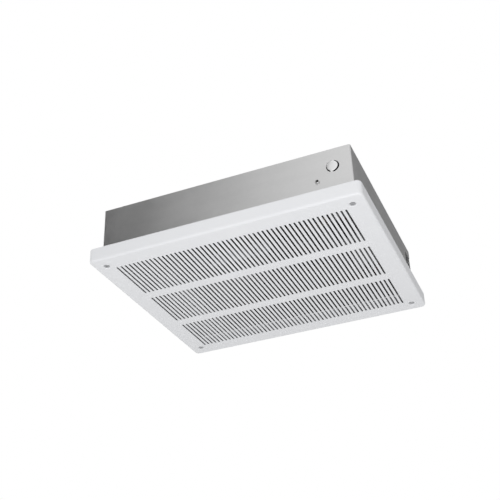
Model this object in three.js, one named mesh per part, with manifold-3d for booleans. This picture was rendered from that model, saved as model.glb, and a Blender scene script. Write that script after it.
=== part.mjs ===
// Ceiling mounted fan heater: a steel back box let into the ceiling, a slotted white grille under it,
// and between them a fan that blows down through a finned heating element.
// Millimetres, +Z up. The origin is the centre of the back box's top face, so the heater hangs below it.
import * as THREE from "three";
import { mergeGeometries, mergeVertices } from "three/addons/utils/BufferGeometryUtils.js";
import Module from "manifold-3d";

const wasm = await Module();
wasm.setup();

// ---------------------------------------------------------------- clearances
const SEAT_GAP = 0.3; // between two pieces that seat on each other
const RUNNING_GAP = 0.15; // shaft in its bushes, measured at the facets' corners
const HOLE_GAP = 0.4; // screw in its hole, on the radius

// ---------------------------------------------------------------- back box
const BOX_L = 460;
const BOX_W = 388;
const BOX_T = 1.2;
const BOX_CORNER_R = 2;
const LIP_W = 15; // flange turned in round the mouth
const KNOCKOUT_R = 11.1; // trade half-inch conduit knockout
const KNOCKOUT_FROM_END = 32.5;
const KNOCKOUT_DROP = 34.5; // below the top face
const KNOCKOUT_GROOVE = 1.3;
const KNOCKOUT_RAISE = 0.8;
const KNOCKOUT_TAB_AT = -100; // degrees round from +X
const KNOCKOUT_TAB_HALF = 16; // half of each tab's arc, degrees
const SIDE_SCREW_FROM_END = 60;
const SIDE_SCREW_DROP = 58;
const KEYHOLE_INSET = 42;
const KEYHOLE_HEAD_R = 5;
const KEYHOLE_NECK_R = 2.6;
const KEYHOLE_LENGTH = 11;
const JOIST_HOLE_R = 2.8;
const JOIST_HOLE_DROP = 60;
const JOIST_HOLE_SPACING = 240;
const END_WINDOW_W = 38; // relief beside the far wall in the right-hand end wall
const END_WINDOW_H = 42;
const END_WINDOW_DROP = 15;
const GROUND_FROM_COVER_END = 16; // earth dimple, inside the wiring cover
const GROUND_DIMPLE_R = 7;
const GROUND_DIMPLE_DEPTH = 5;

// ---------------------------------------------------------------- grille
const GRILLE_OVERHANG_X = 15; // past the back box, to cover the hole in the ceiling
const GRILLE_OVERHANG_Y = 20.5;
const GRILLE_DEPTH = 27;
const GRILLE_T = 1.2;
const GRILLE_BEND_R = 4.5;
const GRILLE_CORNER_R = 9;
const SLOT_W = 3.2;
const SLOT_PITCH = 8;
const SLOT_MARGIN_X = 35;
const SLOT_MARGIN_Y = 35.1;
const SLOT_ROWS = 3;
const ROW_GAP = 20.4;
const GRILLE_SCREW_INSET_X = 7.4; // from the back box's outside
const GRILLE_SCREW_INSET_Y = 5.4;
const DIMPLE_R = 6.5;
const DIMPLE_SEAT_R = 3.4;
const DIMPLE_DEPTH = 2.6;
const GRILLE_SCREW_SINK = 1.1; // head below the face

// ---------------------------------------------------------------- fasteners
const SCREW_R = 2.1;
const SCREW_HEAD_R = 4;
const SCREW_HEAD_H = 2.4;
const SCREW_PROUD = 5; // length past the sheet that it bites in
const EARTH_SCREW_HEAD_R = 5;
const EARTH_SCREW_PROUD = 4;

// ---------------------------------------------------------------- fan motor
const SHAFT_R = 3;
const BUSH_R = 6;
const BUSH_L = 6.5;
const BUSH_TAPER = 1; // barrel's middle over its ends, on the radius
const HOUSING_WALL = 2.4;
const BRIDGE_T = 1.5;
const BRIDGE_W = 14;
const ROTOR_R = 16;
const ROTOR_RING = 2; // chamfer of the cast end rings
const AIR_GAP = 0.6;
const ROTOR_END_INSET = 0.6;
const STACK_T = 14;
const CORE_CHAMFER = 8;
const CORE_HALF_W = 25;
const CORE_REAR = 24;
const POLE_WALL = 3.4;
const COIL_WINDOW = 14;
const COIL_LEG = 12;
const COIL_LENGTH = 30;
const BOBBIN_WALL = 1;
const WINDING_T = 6.5;
const STUD_R = 2;
const STUD_Y = 20.9;
const NUT_R = 4.2;
const NUT_H = 3.2;

// ---------------------------------------------------------------- fan
const FAN_FROM_PAN_END = 50; // blade tips to the heater pan's end wall
const FAN_BLADES = 5;
const FAN_PLATE_R = 27;
const BLADE_ROOT_LAP = 4; // a blade starts this far inside the flat centre's edge
const BLADE_T = 1.2;
const BLADE_RISE = 10.5; // half the height that a blade spans
const BLADE_ROOT_ANGLE = 0.36; // half the arc that a blade covers, radians
const BLADE_TIP_ANGLE = 0.47;
const BLADE_TIP_SWEEP = 0.16; // share of that arc lost to the rounded tip
const BLADE_CAMBER = 0.22; // of the blade's rise
const BLADE_TWIST_ENDS = 0.5; // share of the blade's length over which it leans in
const HUB_R = 8;
const HUB_FLANGE_R = 14;
const HUB_FLANGE_T = 2;
const HUB_L = 15;
const SET_SCREW_R = 2;
const FAN_DROP = 14; // the fan's mid-plane below the heater pan's top

// ---------------------------------------------------------------- heater pan and motor strap
const END_BAY = 80; // heater pan's end to the back box's end, at both ends
const PAN_T = 1;
const PAN_ENTRY_GAP = 7; // to the lip, so that the pan goes in through the mouth
const PAN_FLANGE_EDGE = 5; // the flange stops this short of the box's outside
const PAN_SCREW_INSET = 25;
const TIP_CLEARANCE = 4;
const VENTURI_R = 6;
const VENTURI_DEPTH = 14;
const STRAP_T = 1.6;
const STRAP_W = 36;
const STRAP_FOOT = 20;
const STRAP_FROM_VENTURI = 6;
const STRAP_LEAN = 12;
const STRAP_HEM = 6;
const MOTOR_FLOOR = 0.6; // lower bearing above the pan's top
const MOTOR_HEADROOM = 4.6; // upper bearing below the box's ceiling

// ---------------------------------------------------------------- heating element
const ELEMENT_LEGS = 4;
const ELEMENT_MARGIN = 67; // outer legs to the heater pan's long walls
const SHEATH_R = 4;
const FIN_R = 10;
const FIN_T = 1.6;
const FIN_PITCH = 18;
const FAN_FIN_GAP = 2;
const FIN_EDGE_GAP = 1.2; // fins above the pan's lower edge
const BEND_WALL_GAP = 5; // return bends to the pan's end walls
const ELEMENT_PROUD = 10; // sheath past the pan's end wall
const SUPPORT_T = 1;
const SUPPORT_TAB = 12;
const BUSHING_WALL = 3;
const BUSHING_FLANGE = 2.4;
const PIN_R = 1.6;
const PIN_L = 7;
const SPADE_W = 6.3;
const SPADE_T = 0.8;
const SPADE_L = 8;

// ---------------------------------------------------------------- controls
const PLATE_T = 1;
const PLATE_W = 52;
const PLATE_Y0 = -32;
const PLATE_Y1 = 72;
const PLATE_DROP = 32; // below the heater pan's top
const PLATE_FLANGE = 20;
const PLATE_LIP = 5;
const PLATE_SCREW_INSET = 12;
const RELAY_SIZE = [32, 28, 21];
const RELAY_Y = 48;
const RELAY_FOOT = 4;
const RELAY_SPADES = [16, 14]; // spacing of the four, along X and Y
const LIMIT_R = 10;
const LIMIT_H = 13;
const LIMIT_CHAMFER = 2;
const LIMIT_Y = -8;
const LIMIT_SPADES = 10; // spacing of the two
const LIMIT_COLLAR_R = 5;
const LIMIT_COLLAR_H = 3;
const RESET_R = 2.2;
const RESET_PROUD = 5;
const RESET_CHAMFER = 0.8;
const RESET_TRAVEL = 2.5;

// ---------------------------------------------------------------- wiring compartment
const COVER_T = 1;
const COVER_FROM_PAN = 6;
const COVER_W = 112; // from the near wall
const COVER_FLOOR_BELOW_SCREW = 6.4;
const COVER_TAB = 16;
const BLOCK_SIZE = [24, 54, 11];
const BLOCK_BARRIER_T = 2;
const BLOCK_BARRIER_H = 6;
const BLOCK_FROM_COVER_END = 60;
const GROMMET_R = 9;
const GROMMET_BORE_R = 5.5;
const GROMMET_FLANGE = 2;
const GROMMET_CHAMFER = 1;
const GROMMET_DROP = 34;
const LEAD_R = 1.3;
const LEAD_MARGIN = 1; // a lead keeps this clear of what it runs beside
const LEAD_SPACING = 5.5; // between two leads that run side by side
const LEAD_STUB = 3; // straight where a lead meets its terminal
const LEAD_EASE = 3; // first swing past the stub
const LEAD_TURN = 6; // room that a lead takes to turn
const LEAD_RUN = 8; // straight run before and after a hole
const BLOCK_LEAD_SIDE = 8; // from the block's middle to where a lead goes in
const GROMMET_LEAD_SIDE = 2.4; // from the grommet's middle
const ELEMENT_LEAD_OUT = 14; // from the control plate's middle, where a lead leaves it
const ELEMENT_LEAD_BULGE = 18; // and farther down
const ELEMENT_LEAD_TAIL = 10; // past the element's end, where the lead comes in
const PAN_EDGE_LEAD = 12; // from the heater pan's end, where the motor's leads come over it

// Facets round a turned piece.
const SCREW_SIDES = 6; // hexagon heads
const GRILLE_SCREW_SIDES = 8;
const SMALL_SIDES = 12;
const ROTOR_SIDES = 16;
const LARGE_SIDES = 24;

// ---------------------------------------------------------------- sizes worked out from the ones above
// The heater pan's ends set the fan, and the near wall what the wiring compartment holds.
const PAN_L = BOX_L - 2 * END_BAY;
const FAN_R = PAN_L / 2 - FAN_FROM_PAN_END;
const COVER_END_Y = -BOX_W / 2 + COVER_W;
const BLOCK_Y = COVER_END_Y - BLOCK_FROM_COVER_END;
const GROUND_Y = COVER_END_Y - GROUND_FROM_COVER_END;
// The motor is stacked down from the strap's underside.
const BRIDGE_H = BUSH_L + 2 * SEAT_GAP + HOUSING_WALL;
const TOP_BRIDGE_Z = -SEAT_GAP - BRIDGE_T;
const CORE_TOP = TOP_BRIDGE_Z - SEAT_GAP;
const CORE_BOTTOM = CORE_TOP - STACK_T;
const LOW_BRIDGE_Z = CORE_BOTTOM - SEAT_GAP;
const MOTOR_RISE = BRIDGE_H - LOW_BRIDGE_Z + MOTOR_FLOOR; // strap's underside above the pan's top
const PLENUM_H = MOTOR_RISE + TOP_BRIDGE_Z + BRIDGE_H + MOTOR_HEADROOM;
// The fan and the element set the pan's depth, and the pan the box's.
const PAN_DEPTH = FAN_DROP + BLADE_RISE + BLADE_T / 2 + FAN_FIN_GAP + 2 * FIN_R + FIN_EDGE_GAP;
const PAN_TOP = -(BOX_T + PLENUM_H);
const BOX_H = PAN_DEPTH - PAN_TOP - PAN_T - SEAT_GAP;
const ELEMENT_Z = -(PAN_DEPTH - FIN_EDGE_GAP - FIN_R);
const PAN_W = BOX_W - 2 * (LIP_W + PAN_ENTRY_GAP);
const LEG_SPACING = (PAN_W - 2 * ELEMENT_MARGIN) / (ELEMENT_LEGS - 1);
const ORIFICE_R = FAN_R + TIP_CLEARANCE;
const GRILLE_L = BOX_L + 2 * GRILLE_OVERHANG_X;
const GRILLE_W = BOX_W + 2 * GRILLE_OVERHANG_Y;
const SLOT_COLUMNS = 1 + Math.floor((GRILLE_L - 2 * SLOT_MARGIN_X - SLOT_W) / SLOT_PITCH);
const SLOT_L = (GRILLE_W - 2 * SLOT_MARGIN_Y - (SLOT_ROWS - 1) * ROW_GAP) / SLOT_ROWS;
const SCREW_HOLE_R = SCREW_R + HOLE_GAP;
const GRILLE_SCREW_X = BOX_L / 2 - GRILLE_SCREW_INSET_X;
const GRILLE_SCREW_Y = BOX_W / 2 - GRILLE_SCREW_INSET_Y;
const PAN_SCREW_X = PAN_L / 2 - PAN_SCREW_INSET;
const PAN_SCREW_Y = (BOX_W - LIP_W) / 2;
const KNOCKOUT_X = BOX_L / 2 - KNOCKOUT_FROM_END;
const SIDE_SCREW_X = BOX_L / 2 - SIDE_SCREW_FROM_END;
const STRAP_RISER_X = ORIFICE_R + VENTURI_R + STRAP_FROM_VENTURI;
const STRAP_SCREW_X = STRAP_RISER_X + STRAP_FOOT / 2;
const STRAP_SCREW_Y = STRAP_W / 4;
const COIL_LEG_X = ROTOR_R + AIR_GAP + POLE_WALL + COIL_WINDOW + COIL_LEG / 2;
const LEG_END_X = PAN_L / 2 - PAN_T - BEND_WALL_GAP - SHEATH_R - LEG_SPACING / 2;
const FINS_PER_LEG = 1 + 2 * Math.floor((LEG_END_X - FIN_T) / FIN_PITCH);
const SUPPORT_X = FIN_PITCH * (Math.floor(FINS_PER_LEG / 4) + 0.5); // between two fins
const ELEMENT_END_X = PAN_L / 2 + ELEMENT_PROUD;
const ELEMENT_END_Y = ((ELEMENT_LEGS - 1) * LEG_SPACING) / 2;
const SPADE_X = ELEMENT_END_X + SEAT_GAP + PIN_L;
const COVER_X0 = PAN_L / 2 + COVER_FROM_PAN;
const COVER_X1 = BOX_L / 2 - BOX_T - 2 * SEAT_GAP;
const COVER_Y0 = -BOX_W / 2 + BOX_T + SEAT_GAP;
const COVER_FLOOR_Z = -(SIDE_SCREW_DROP + COVER_FLOOR_BELOW_SCREW);
const COVER_MID_X = (COVER_X0 + COVER_X1) / 2;
const CONTROL_X = PAN_L / 2 + PLATE_W / 2;

// ---------------------------------------------------------------- solids from three.js shapes
// A closed mesh as a solid that can be joined and cut.
function solidOf(geometry) {
  const bare = geometry.clone();
  bare.deleteAttribute("normal");
  bare.deleteAttribute("uv");
  const merged = mergeVertices(bare, 1e-4);
  return new wasm.Manifold(
    new wasm.Mesh({
      numProp: 3,
      vertProperties: merged.attributes.position.array,
      triVerts: new Uint32Array(merged.index.array),
    }),
  );
}

// The solid's surface again, with flat facets.
function geometryOf(solid) {
  const { vertProperties, triVerts } = solid.getMesh();
  const indexed = new THREE.BufferGeometry();
  indexed.setAttribute("position", new THREE.BufferAttribute(vertProperties, 3));
  indexed.setIndex(new THREE.BufferAttribute(triVerts, 1));
  const facets = indexed.toNonIndexed();
  facets.computeVertexNormals();
  return facets;
}

const join = (...solids) => solids.reduce((whole, next) => whole.add(next));
const cut = (base, ...tools) => tools.reduce((rest, tool) => rest.subtract(tool), base);
const both = (make) => [-1, 1].map(make);

// A block between two values on each axis.
function block([x0, x1], [y0, y1], [z0, z1]) {
  const geometry = new THREE.BoxGeometry(x1 - x0, y1 - y0, z1 - z0);
  geometry.translate((x0 + x1) / 2, (y0 + y1) / 2, (z0 + z1) / 2);
  return solidOf(geometry);
}

// A round bar, standing up unless it is turned to lie along X or Y.
function bar(radius, [from, to], at = [0, 0, 0], along = "z", sides = SMALL_SIDES) {
  const geometry = new THREE.CylinderGeometry(radius, radius, to - from, sides);
  geometry.translate(0, (from + to) / 2, 0);
  if (along === "z") geometry.rotateX(Math.PI / 2);
  if (along === "x") geometry.rotateZ(-Math.PI / 2);
  geometry.translate(...at);
  return solidOf(geometry);
}

// A clearance hole for a screw; a narrow one for the motor's studs.
function screwHole(through, at, along = "z", radius = SCREW_HOLE_R) {
  return bar(radius, through, at, along, SCREW_SIDES);
}

// A profile of [radius, z] points, listed upwards on the outside, turned about Z.
function turned(profile, sides = SMALL_SIDES, at = [0, 0, 0]) {
  const points = profile.map(([r, z]) => new THREE.Vector2(r, z));
  const geometry = new THREE.LatheGeometry(points, sides);
  geometry.rotateX(Math.PI / 2);
  geometry.translate(...at);
  return solidOf(geometry);
}

// A flat outline of [a, b] points, thickened upwards, or along X with a, b as Y, Z,
// or along -Y with a, b as X, Z.
function plate(outline, [from, to], along = "z", curveSegments = 4) {
  const isShape = outline instanceof THREE.Shape;
  const shape = isShape ? outline : new THREE.Shape(outline.map(([a, b]) => new THREE.Vector2(a, b)));
  const settings = { depth: to - from, bevelEnabled: false, curveSegments };
  const geometry = new THREE.ExtrudeGeometry(shape, settings);
  geometry.translate(0, 0, from);
  if (along === "x") {
    const [x, y, z] = [0, 1, 2].map((i) => new THREE.Vector3().setComponent(i, 1));
    geometry.applyMatrix4(new THREE.Matrix4().makeBasis(y, z, x));
  }
  if (along === "y") geometry.rotateX(Math.PI / 2);
  return solidOf(geometry);
}

// A rectangle's outline with round corners, anticlockwise seen from above.
function roundedLoop(halfX, halfY, radius, z, steps) {
  const loop = [];
  const corners = [[1, 1], [-1, 1], [-1, -1], [1, -1]];
  corners.forEach(([sx, sy], quarter) => {
    for (let i = 0; i <= steps; i++) {
      const angle = ((quarter + i / steps) * Math.PI) / 2;
      const x = sx * (halfX - radius) + radius * Math.cos(angle);
      const y = sy * (halfY - radius) + radius * Math.sin(angle);
      loop.push(new THREE.Vector3(x, y, z));
    }
  });
  return loop;
}

// A skin through loops of equal length, closed by a flat cap on the first and the last loop.
function lofted(loops) {
  const count = loops[0].length;
  const position = loops.flat().flatMap((p) => [p.x, p.y, p.z]);
  const last = (loops.length - 1) * count;
  const index = [];
  for (let k = 0; k + 1 < loops.length; k++) {
    for (let i = 0; i < count; i++) {
      const [a, b] = [k * count + i, k * count + ((i + 1) % count)];
      index.push(a, a + count, b + count, a, b + count, b);
    }
  }
  for (let i = 1; i + 1 < count; i++) index.push(0, i, i + 1, last, last + i + 1, last + i);
  const geometry = new THREE.BufferGeometry();
  geometry.setAttribute("position", new THREE.Float32BufferAttribute(position, 3));
  geometry.setIndex(index);
  return solidOf(geometry);
}

// A pressed tray's skin: steps of [inset, z] on one outline, whose corners tighten as it goes in.
function tray(halfX, halfY, cornerR, steps, cornerSteps) {
  const smallest = 0.4;
  return lofted(
    steps.map(([inset, z]) =>
      roundedLoop(halfX - inset, halfY - inset, Math.max(cornerR - inset, smallest), z, cornerSteps),
    ),
  );
}

// A smooth round lead through the points.
function lead(points, steps) {
  const path = new THREE.CatmullRomCurve3(points.map((p) => new THREE.Vector3(...p)), false, "centripetal");
  const section = new THREE.Shape();
  section.absarc(0, 0, LEAD_R, 0, 2 * Math.PI);
  return solidOf(new THREE.ExtrudeGeometry(section, { steps, curveSegments: 3, extrudePath: path }));
}

// A screw whose head bears at z = 0 and whose shank points up.
function screw(length, headR = SCREW_HEAD_R, headH = SCREW_HEAD_H, radius = SCREW_R) {
  const crown = headH / 3;
  const profile = [
    [0, -headH],
    [headR - crown, -headH],
    [headR, -headH + crown],
    [headR, 0],
    [radius, 0],
    [radius, length - radius],
    [0, length],
  ];
  return turned(profile, SCREW_SIDES);
}

// ---------------------------------------------------------------- back box
// A pan open downwards with its lip turned in, its holes, knockouts and earth dimple.
function backBox() {
  const shell = tray(
    BOX_L / 2,
    BOX_W / 2,
    BOX_CORNER_R,
    [
      [0, 0],
      [0, -BOX_H],
      [LIP_W, -BOX_H],
      [LIP_W, -BOX_H + BOX_T],
      [BOX_T, -BOX_H + BOX_T],
      [BOX_T, -BOX_T],
    ],
    1,
  );
  const earthAt = [COVER_MID_X, GROUND_Y, 0];
  const earthPocket = bar(GROUND_DIMPLE_R + BOX_T, [-GROUND_DIMPLE_DEPTH - BOX_T, -BOX_T / 2], earthAt);
  return cut(join(shell, earthPocket), ...boxHoles(), ...knockoutGrooves()).add(knockoutDiscs());
}

function boxHoles() {
  const throughTop = [-2 * BOX_T, BOX_T];
  const throughLip = [-BOX_H - BOX_T, -BOX_H + 2 * BOX_T];
  const throughEnd = [BOX_L / 2 - 2 * BOX_T, BOX_L / 2 + BOX_T];
  const throughNear = [-BOX_W / 2 - BOX_T, -BOX_W / 2 + 2 * BOX_T];
  const holes = [
    bar(GROUND_DIMPLE_R, [-GROUND_DIMPLE_DEPTH, BOX_T], [COVER_MID_X, GROUND_Y, 0]),
    screwHole([-GROUND_DIMPLE_DEPTH - 2 * BOX_T, 0], [COVER_MID_X, GROUND_Y, 0]),
    screwHole(throughNear, [SIDE_SCREW_X, 0, -SIDE_SCREW_DROP], "y"),
    block(
      throughEnd,
      [BOX_W / 2 - BOX_T - END_WINDOW_W, BOX_W / 2 - BOX_T],
      [-END_WINDOW_DROP - END_WINDOW_H, -END_WINDOW_DROP],
    ),
  ];
  for (const sx of [-1, 1]) {
    for (const sy of [-1, 1]) {
      holes.push(screwHole(throughLip, [sx * GRILLE_SCREW_X, sy * GRILLE_SCREW_Y, 0]));
      holes.push(screwHole(throughLip, [sx * PAN_SCREW_X, sy * PAN_SCREW_Y, 0]));
      holes.push(keyhole(sx * (BOX_L / 2 - KEYHOLE_INSET), sy * (BOX_W / 2 - KEYHOLE_INSET), throughTop));
      const along = throughEnd.map((x) => sx * x).sort((a, b) => a - b);
      const joistAt = [0, (sy * JOIST_HOLE_SPACING) / 2, -JOIST_HOLE_DROP];
      holes.push(screwHole(along, joistAt, "x", JOIST_HOLE_R));
    }
  }
  return holes;
}

// A round hole that a screw head passes, with a neck along +X that it hangs in.
function keyhole(x, y, through) {
  const neck = Math.asin(KEYHOLE_NECK_R / KEYHOLE_HEAD_R);
  const shape = new THREE.Shape();
  shape.absarc(x, y, KEYHOLE_HEAD_R, neck, 2 * Math.PI - neck);
  shape.absarc(x + KEYHOLE_LENGTH, y, KEYHOLE_NECK_R, -Math.PI / 2, Math.PI / 2);
  return plate(shape, through, "z", 3);
}

// The near wall's knockout stands proud; the top's is flush, because that face is mounted.
const knockouts = [
  { at: [KNOCKOUT_X, -BOX_W / 2, -KNOCKOUT_DROP], turn: Math.PI / 2, raise: KNOCKOUT_RAISE },
  { at: [KNOCKOUT_X, -BOX_W / 2 + KNOCKOUT_FROM_END, 0], turn: 0, raise: 0 },
];

function atKnockout(geometry, { at, turn }) {
  geometry.rotateX(turn);
  geometry.translate(...at);
  return solidOf(geometry);
}

// The groove that frees each disc but for its two tabs: two arcs a side, cut right through.
function knockoutGrooves() {
  const [tabAt, tabHalf] = [KNOCKOUT_TAB_AT, KNOCKOUT_TAB_HALF].map(THREE.MathUtils.degToRad);
  const arc = (start) => {
    const end = start + Math.PI - 2 * tabHalf;
    const shape = new THREE.Shape();
    shape.absarc(0, 0, KNOCKOUT_R, start, end, false);
    shape.absarc(0, 0, KNOCKOUT_R - KNOCKOUT_GROOVE, end, start, true);
    const settings = { depth: 4 * BOX_T, bevelEnabled: false, curveSegments: 4 };
    const geometry = new THREE.ExtrudeGeometry(shape, settings);
    geometry.translate(0, 0, -2 * BOX_T);
    return geometry;
  };
  return knockouts.flatMap((place) =>
    [0, Math.PI].map((half) => atKnockout(arc(tabAt + tabHalf + half), place)),
  );
}

// The raised part of each disc that stands proud, with a bevelled edge.
function knockoutDiscs() {
  const radius = KNOCKOUT_R - KNOCKOUT_GROOVE;
  const proud = knockouts.filter((place) => place.raise > 0);
  const discs = proud.map((place) => {
    const height = place.raise + BOX_T / 2;
    const disc = new THREE.CylinderGeometry(radius - place.raise / 2, radius, height, 2 * SMALL_SIDES);
    disc.rotateX(Math.PI / 2);
    disc.translate(0, 0, place.raise - height / 2);
    return atKnockout(disc, place);
  });
  return join(...discs);
}

// ---------------------------------------------------------------- grille
// A pressed tray, face down at z = 0, with a soft bend round it and slots right through.
function grille() {
  const bend = (radius, inset, steps) =>
    Array.from({ length: steps + 1 }, (_, i) => {
      const angle = ((i / steps) * Math.PI) / 2;
      return [inset + radius * (1 - Math.sin(angle)), GRILLE_BEND_R - radius * Math.cos(angle)];
    });
  const inside = bend(GRILLE_BEND_R - GRILLE_T, GRILLE_T, 2);
  const outside = bend(GRILLE_BEND_R, 0, 3).reverse();
  const steps = [...inside, [GRILLE_T, GRILLE_DEPTH], [0, GRILLE_DEPTH], ...outside];
  const skin = tray(GRILLE_L / 2, GRILLE_W / 2, GRILLE_CORNER_R, steps, 3);
  const corners = [-1, 1].flatMap((sx) => [-1, 1].map((sy) => [sx * GRILLE_SCREW_X, sy * GRILLE_SCREW_Y, 0]));
  return cut(join(skin, ...corners.map(dimpleBoss)), ...corners.map(dimpleCut), grilleSlots());
}

const dimpleRadius = (z) => DIMPLE_R - ((DIMPLE_R - DIMPLE_SEAT_R) * z) / DIMPLE_DEPTH;

function dimpleBoss(at) {
  const base = GRILLE_T / 2;
  const top = DIMPLE_DEPTH + GRILLE_T;
  const profile = [
    [0, base],
    [DIMPLE_R + GRILLE_T / 2, base],
    [DIMPLE_R + GRILLE_T / 2, GRILLE_T],
    [DIMPLE_SEAT_R + GRILLE_T, top],
    [0, top],
  ];
  return turned(profile, GRILLE_SCREW_SIDES, at);
}

function dimpleCut(at) {
  const profile = [
    [0, -GRILLE_T],
    [DIMPLE_R, -GRILLE_T],
    [DIMPLE_R, 0],
    [DIMPLE_SEAT_R, DIMPLE_DEPTH],
    [SCREW_HOLE_R, DIMPLE_DEPTH],
    [SCREW_HOLE_R, DIMPLE_DEPTH + 2 * GRILLE_T],
    [0, DIMPLE_DEPTH + 2 * GRILLE_T],
  ];
  return turned(profile, GRILLE_SCREW_SIDES, at);
}

// Every slot in one tool: rows across Y, columns along X, each slot with round ends.
function grilleSlots() {
  const half = (SLOT_L - SLOT_W) / 2;
  const slot = new THREE.Shape();
  slot.absarc(0, half, SLOT_W / 2, 0, Math.PI);
  slot.absarc(0, -half, SLOT_W / 2, Math.PI, 2 * Math.PI);
  const one = new THREE.ExtrudeGeometry(slot, { depth: 3 * GRILLE_T, bevelEnabled: false, curveSegments: 1 });
  const copies = [];
  for (let row = 0; row < SLOT_ROWS; row++) {
    for (let column = 0; column < SLOT_COLUMNS; column++) {
      const x = (column - (SLOT_COLUMNS - 1) / 2) * SLOT_PITCH;
      const y = (row - (SLOT_ROWS - 1) / 2) * (SLOT_L + ROW_GAP);
      copies.push(one.clone().translate(x, y, -GRILLE_T));
    }
  }
  return solidOf(mergeGeometries(copies));
}

// A countersunk screw that sits in the dimple and reaches up to the back box's lip.
function grilleScrew() {
  const slack = 1.5 * SEAT_GAP;
  const headEnd = DIMPLE_DEPTH - SEAT_GAP;
  const length = GRILLE_DEPTH + BOX_T + SCREW_PROUD;
  const profile = [
    [0, GRILLE_SCREW_SINK],
    [dimpleRadius(GRILLE_SCREW_SINK) - slack, GRILLE_SCREW_SINK],
    [dimpleRadius(headEnd) - slack, headEnd],
    [SCREW_R, headEnd],
    [SCREW_R, length - SCREW_R / 2],
    [SCREW_R / 2, length],
    [0, length],
  ];
  return turned(profile, GRILLE_SCREW_SIDES);
}

// ---------------------------------------------------------------- heater pan
// An inverted pan, its top at z = 0: the fan's orifice above, open to the grille below.
function heaterPan() {
  const rim = -PAN_DEPTH + PAN_T / 2; // the folded flange takes up the last half thickness
  const skin = tray(
    PAN_L / 2,
    PAN_W / 2,
    BOX_CORNER_R,
    [
      [0, 0],
      [0, rim],
      [PAN_T, rim],
      [PAN_T, -PAN_T],
    ],
    1,
  );
  const flangeReach = BOX_W / 2 - PAN_FLANGE_EDGE;
  const flangeEnd = PAN_L / 2 - 2 * BOX_CORNER_R;
  const flanges = both((s) => {
    const across = [PAN_W / 2 - PAN_T / 2, flangeReach].map((y) => s * y).sort((a, b) => a - b);
    return block([-flangeEnd, flangeEnd], across, [-PAN_DEPTH, -PAN_DEPTH + PAN_T]);
  });
  const orifice = bar(ORIFICE_R + VENTURI_R, [-2 * PAN_T, PAN_T], [0, 0, 0], "z", LARGE_SIDES);
  return cut(join(skin, ...flanges), orifice, ...panHoles()).add(venturi());
}

function panHoles() {
  const holes = [];
  for (const sy of [-1, 1]) {
    const bushing = [0, sy * ELEMENT_END_Y, ELEMENT_Z];
    const throughEnd = [PAN_L / 2 - 2 * PAN_T, PAN_L / 2 + PAN_T];
    holes.push(bar(SHEATH_R + BUSHING_WALL + SEAT_GAP, throughEnd, bushing, "x"));
    for (const sx of [-1, 1]) {
      const throughFlange = [-PAN_DEPTH - PAN_T, -PAN_DEPTH + 2 * PAN_T];
      holes.push(screwHole(throughFlange, [sx * PAN_SCREW_X, sy * PAN_SCREW_Y, 0]));
      holes.push(screwHole([-2 * PAN_T, PAN_T], [sx * STRAP_SCREW_X, sy * STRAP_SCREW_Y, 0]));
    }
    holes.push(screwHole(throughEnd, [0, plateScrewY(sy), plateScrewZ], "x"));
  }
  return holes;
}

// The orifice's rolled inlet: a quarter bend that turns down into a short throat.
function venturi() {
  const bend = (radius) =>
    [0, 0.5, 1].map((t) => {
      const angle = (t * Math.PI) / 2;
      return [ORIFICE_R + VENTURI_R - radius * Math.sin(angle), -VENTURI_R + radius * Math.cos(angle)];
    });
  const overlap = PAN_T;
  const profile = [
    [ORIFICE_R + VENTURI_R + overlap, 0],
    ...bend(VENTURI_R),
    [ORIFICE_R, -VENTURI_DEPTH],
    [ORIFICE_R + PAN_T, -VENTURI_DEPTH],
    ...bend(VENTURI_R - PAN_T).reverse(),
    [ORIFICE_R + VENTURI_R + overlap, -PAN_T],
  ];
  return turned([...profile, profile[0]], LARGE_SIDES);
}

// ---------------------------------------------------------------- motor strap
// A hat-shaped strap over the orifice, its edges turned up to stiffen it, that the motor hangs from.
// It is made along Y, like the motor, and both are turned to lie along X.
function motorStrap() {
  const foot = STRAP_RISER_X + STRAP_FOOT;
  const shoulder = STRAP_RISER_X - STRAP_LEAN;
  const inner = STRAP_RISER_X - STRAP_T;
  const top = MOTOR_RISE + STRAP_T;
  const half = [
    [inner, SEAT_GAP],
    [foot, SEAT_GAP],
    [foot, SEAT_GAP + STRAP_T],
    [STRAP_RISER_X, SEAT_GAP + STRAP_T],
    [shoulder, top],
  ];
  const underside = both((s) => [s * (shoulder - STRAP_T), MOTOR_RISE]);
  const mirrored = half.map(([y, z]) => [-y, z]).reverse();
  const strap = plate([...half, ...mirrored, ...underside], [-STRAP_W / 2, STRAP_W / 2], "x");
  const hems = both((s) => {
    const across = [STRAP_W / 2 - STRAP_T, STRAP_W / 2].map((x) => s * x).sort((a, b) => a - b);
    const along = [-shoulder + STRAP_T, shoulder - STRAP_T];
    return block(across, along, [MOTOR_RISE + STRAP_T / 2, top + STRAP_HEM]);
  });
  const through = [MOTOR_RISE - STRAP_T, top + STRAP_T];
  const holes = [bar(BUSH_R + HOUSING_WALL + 2 * SEAT_GAP, through)];
  for (const sy of [-1, 1]) {
    holes.push(screwHole(through, [0, sy * STUD_Y, 0], "z", STUD_R + HOLE_GAP));
    for (const sx of [-1, 1]) {
      holes.push(screwHole([0, 3 * STRAP_T], [sx * STRAP_SCREW_Y, sy * STRAP_SCREW_X, 0]));
    }
  }
  return cut(join(strap, ...hems), ...holes);
}

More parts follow.
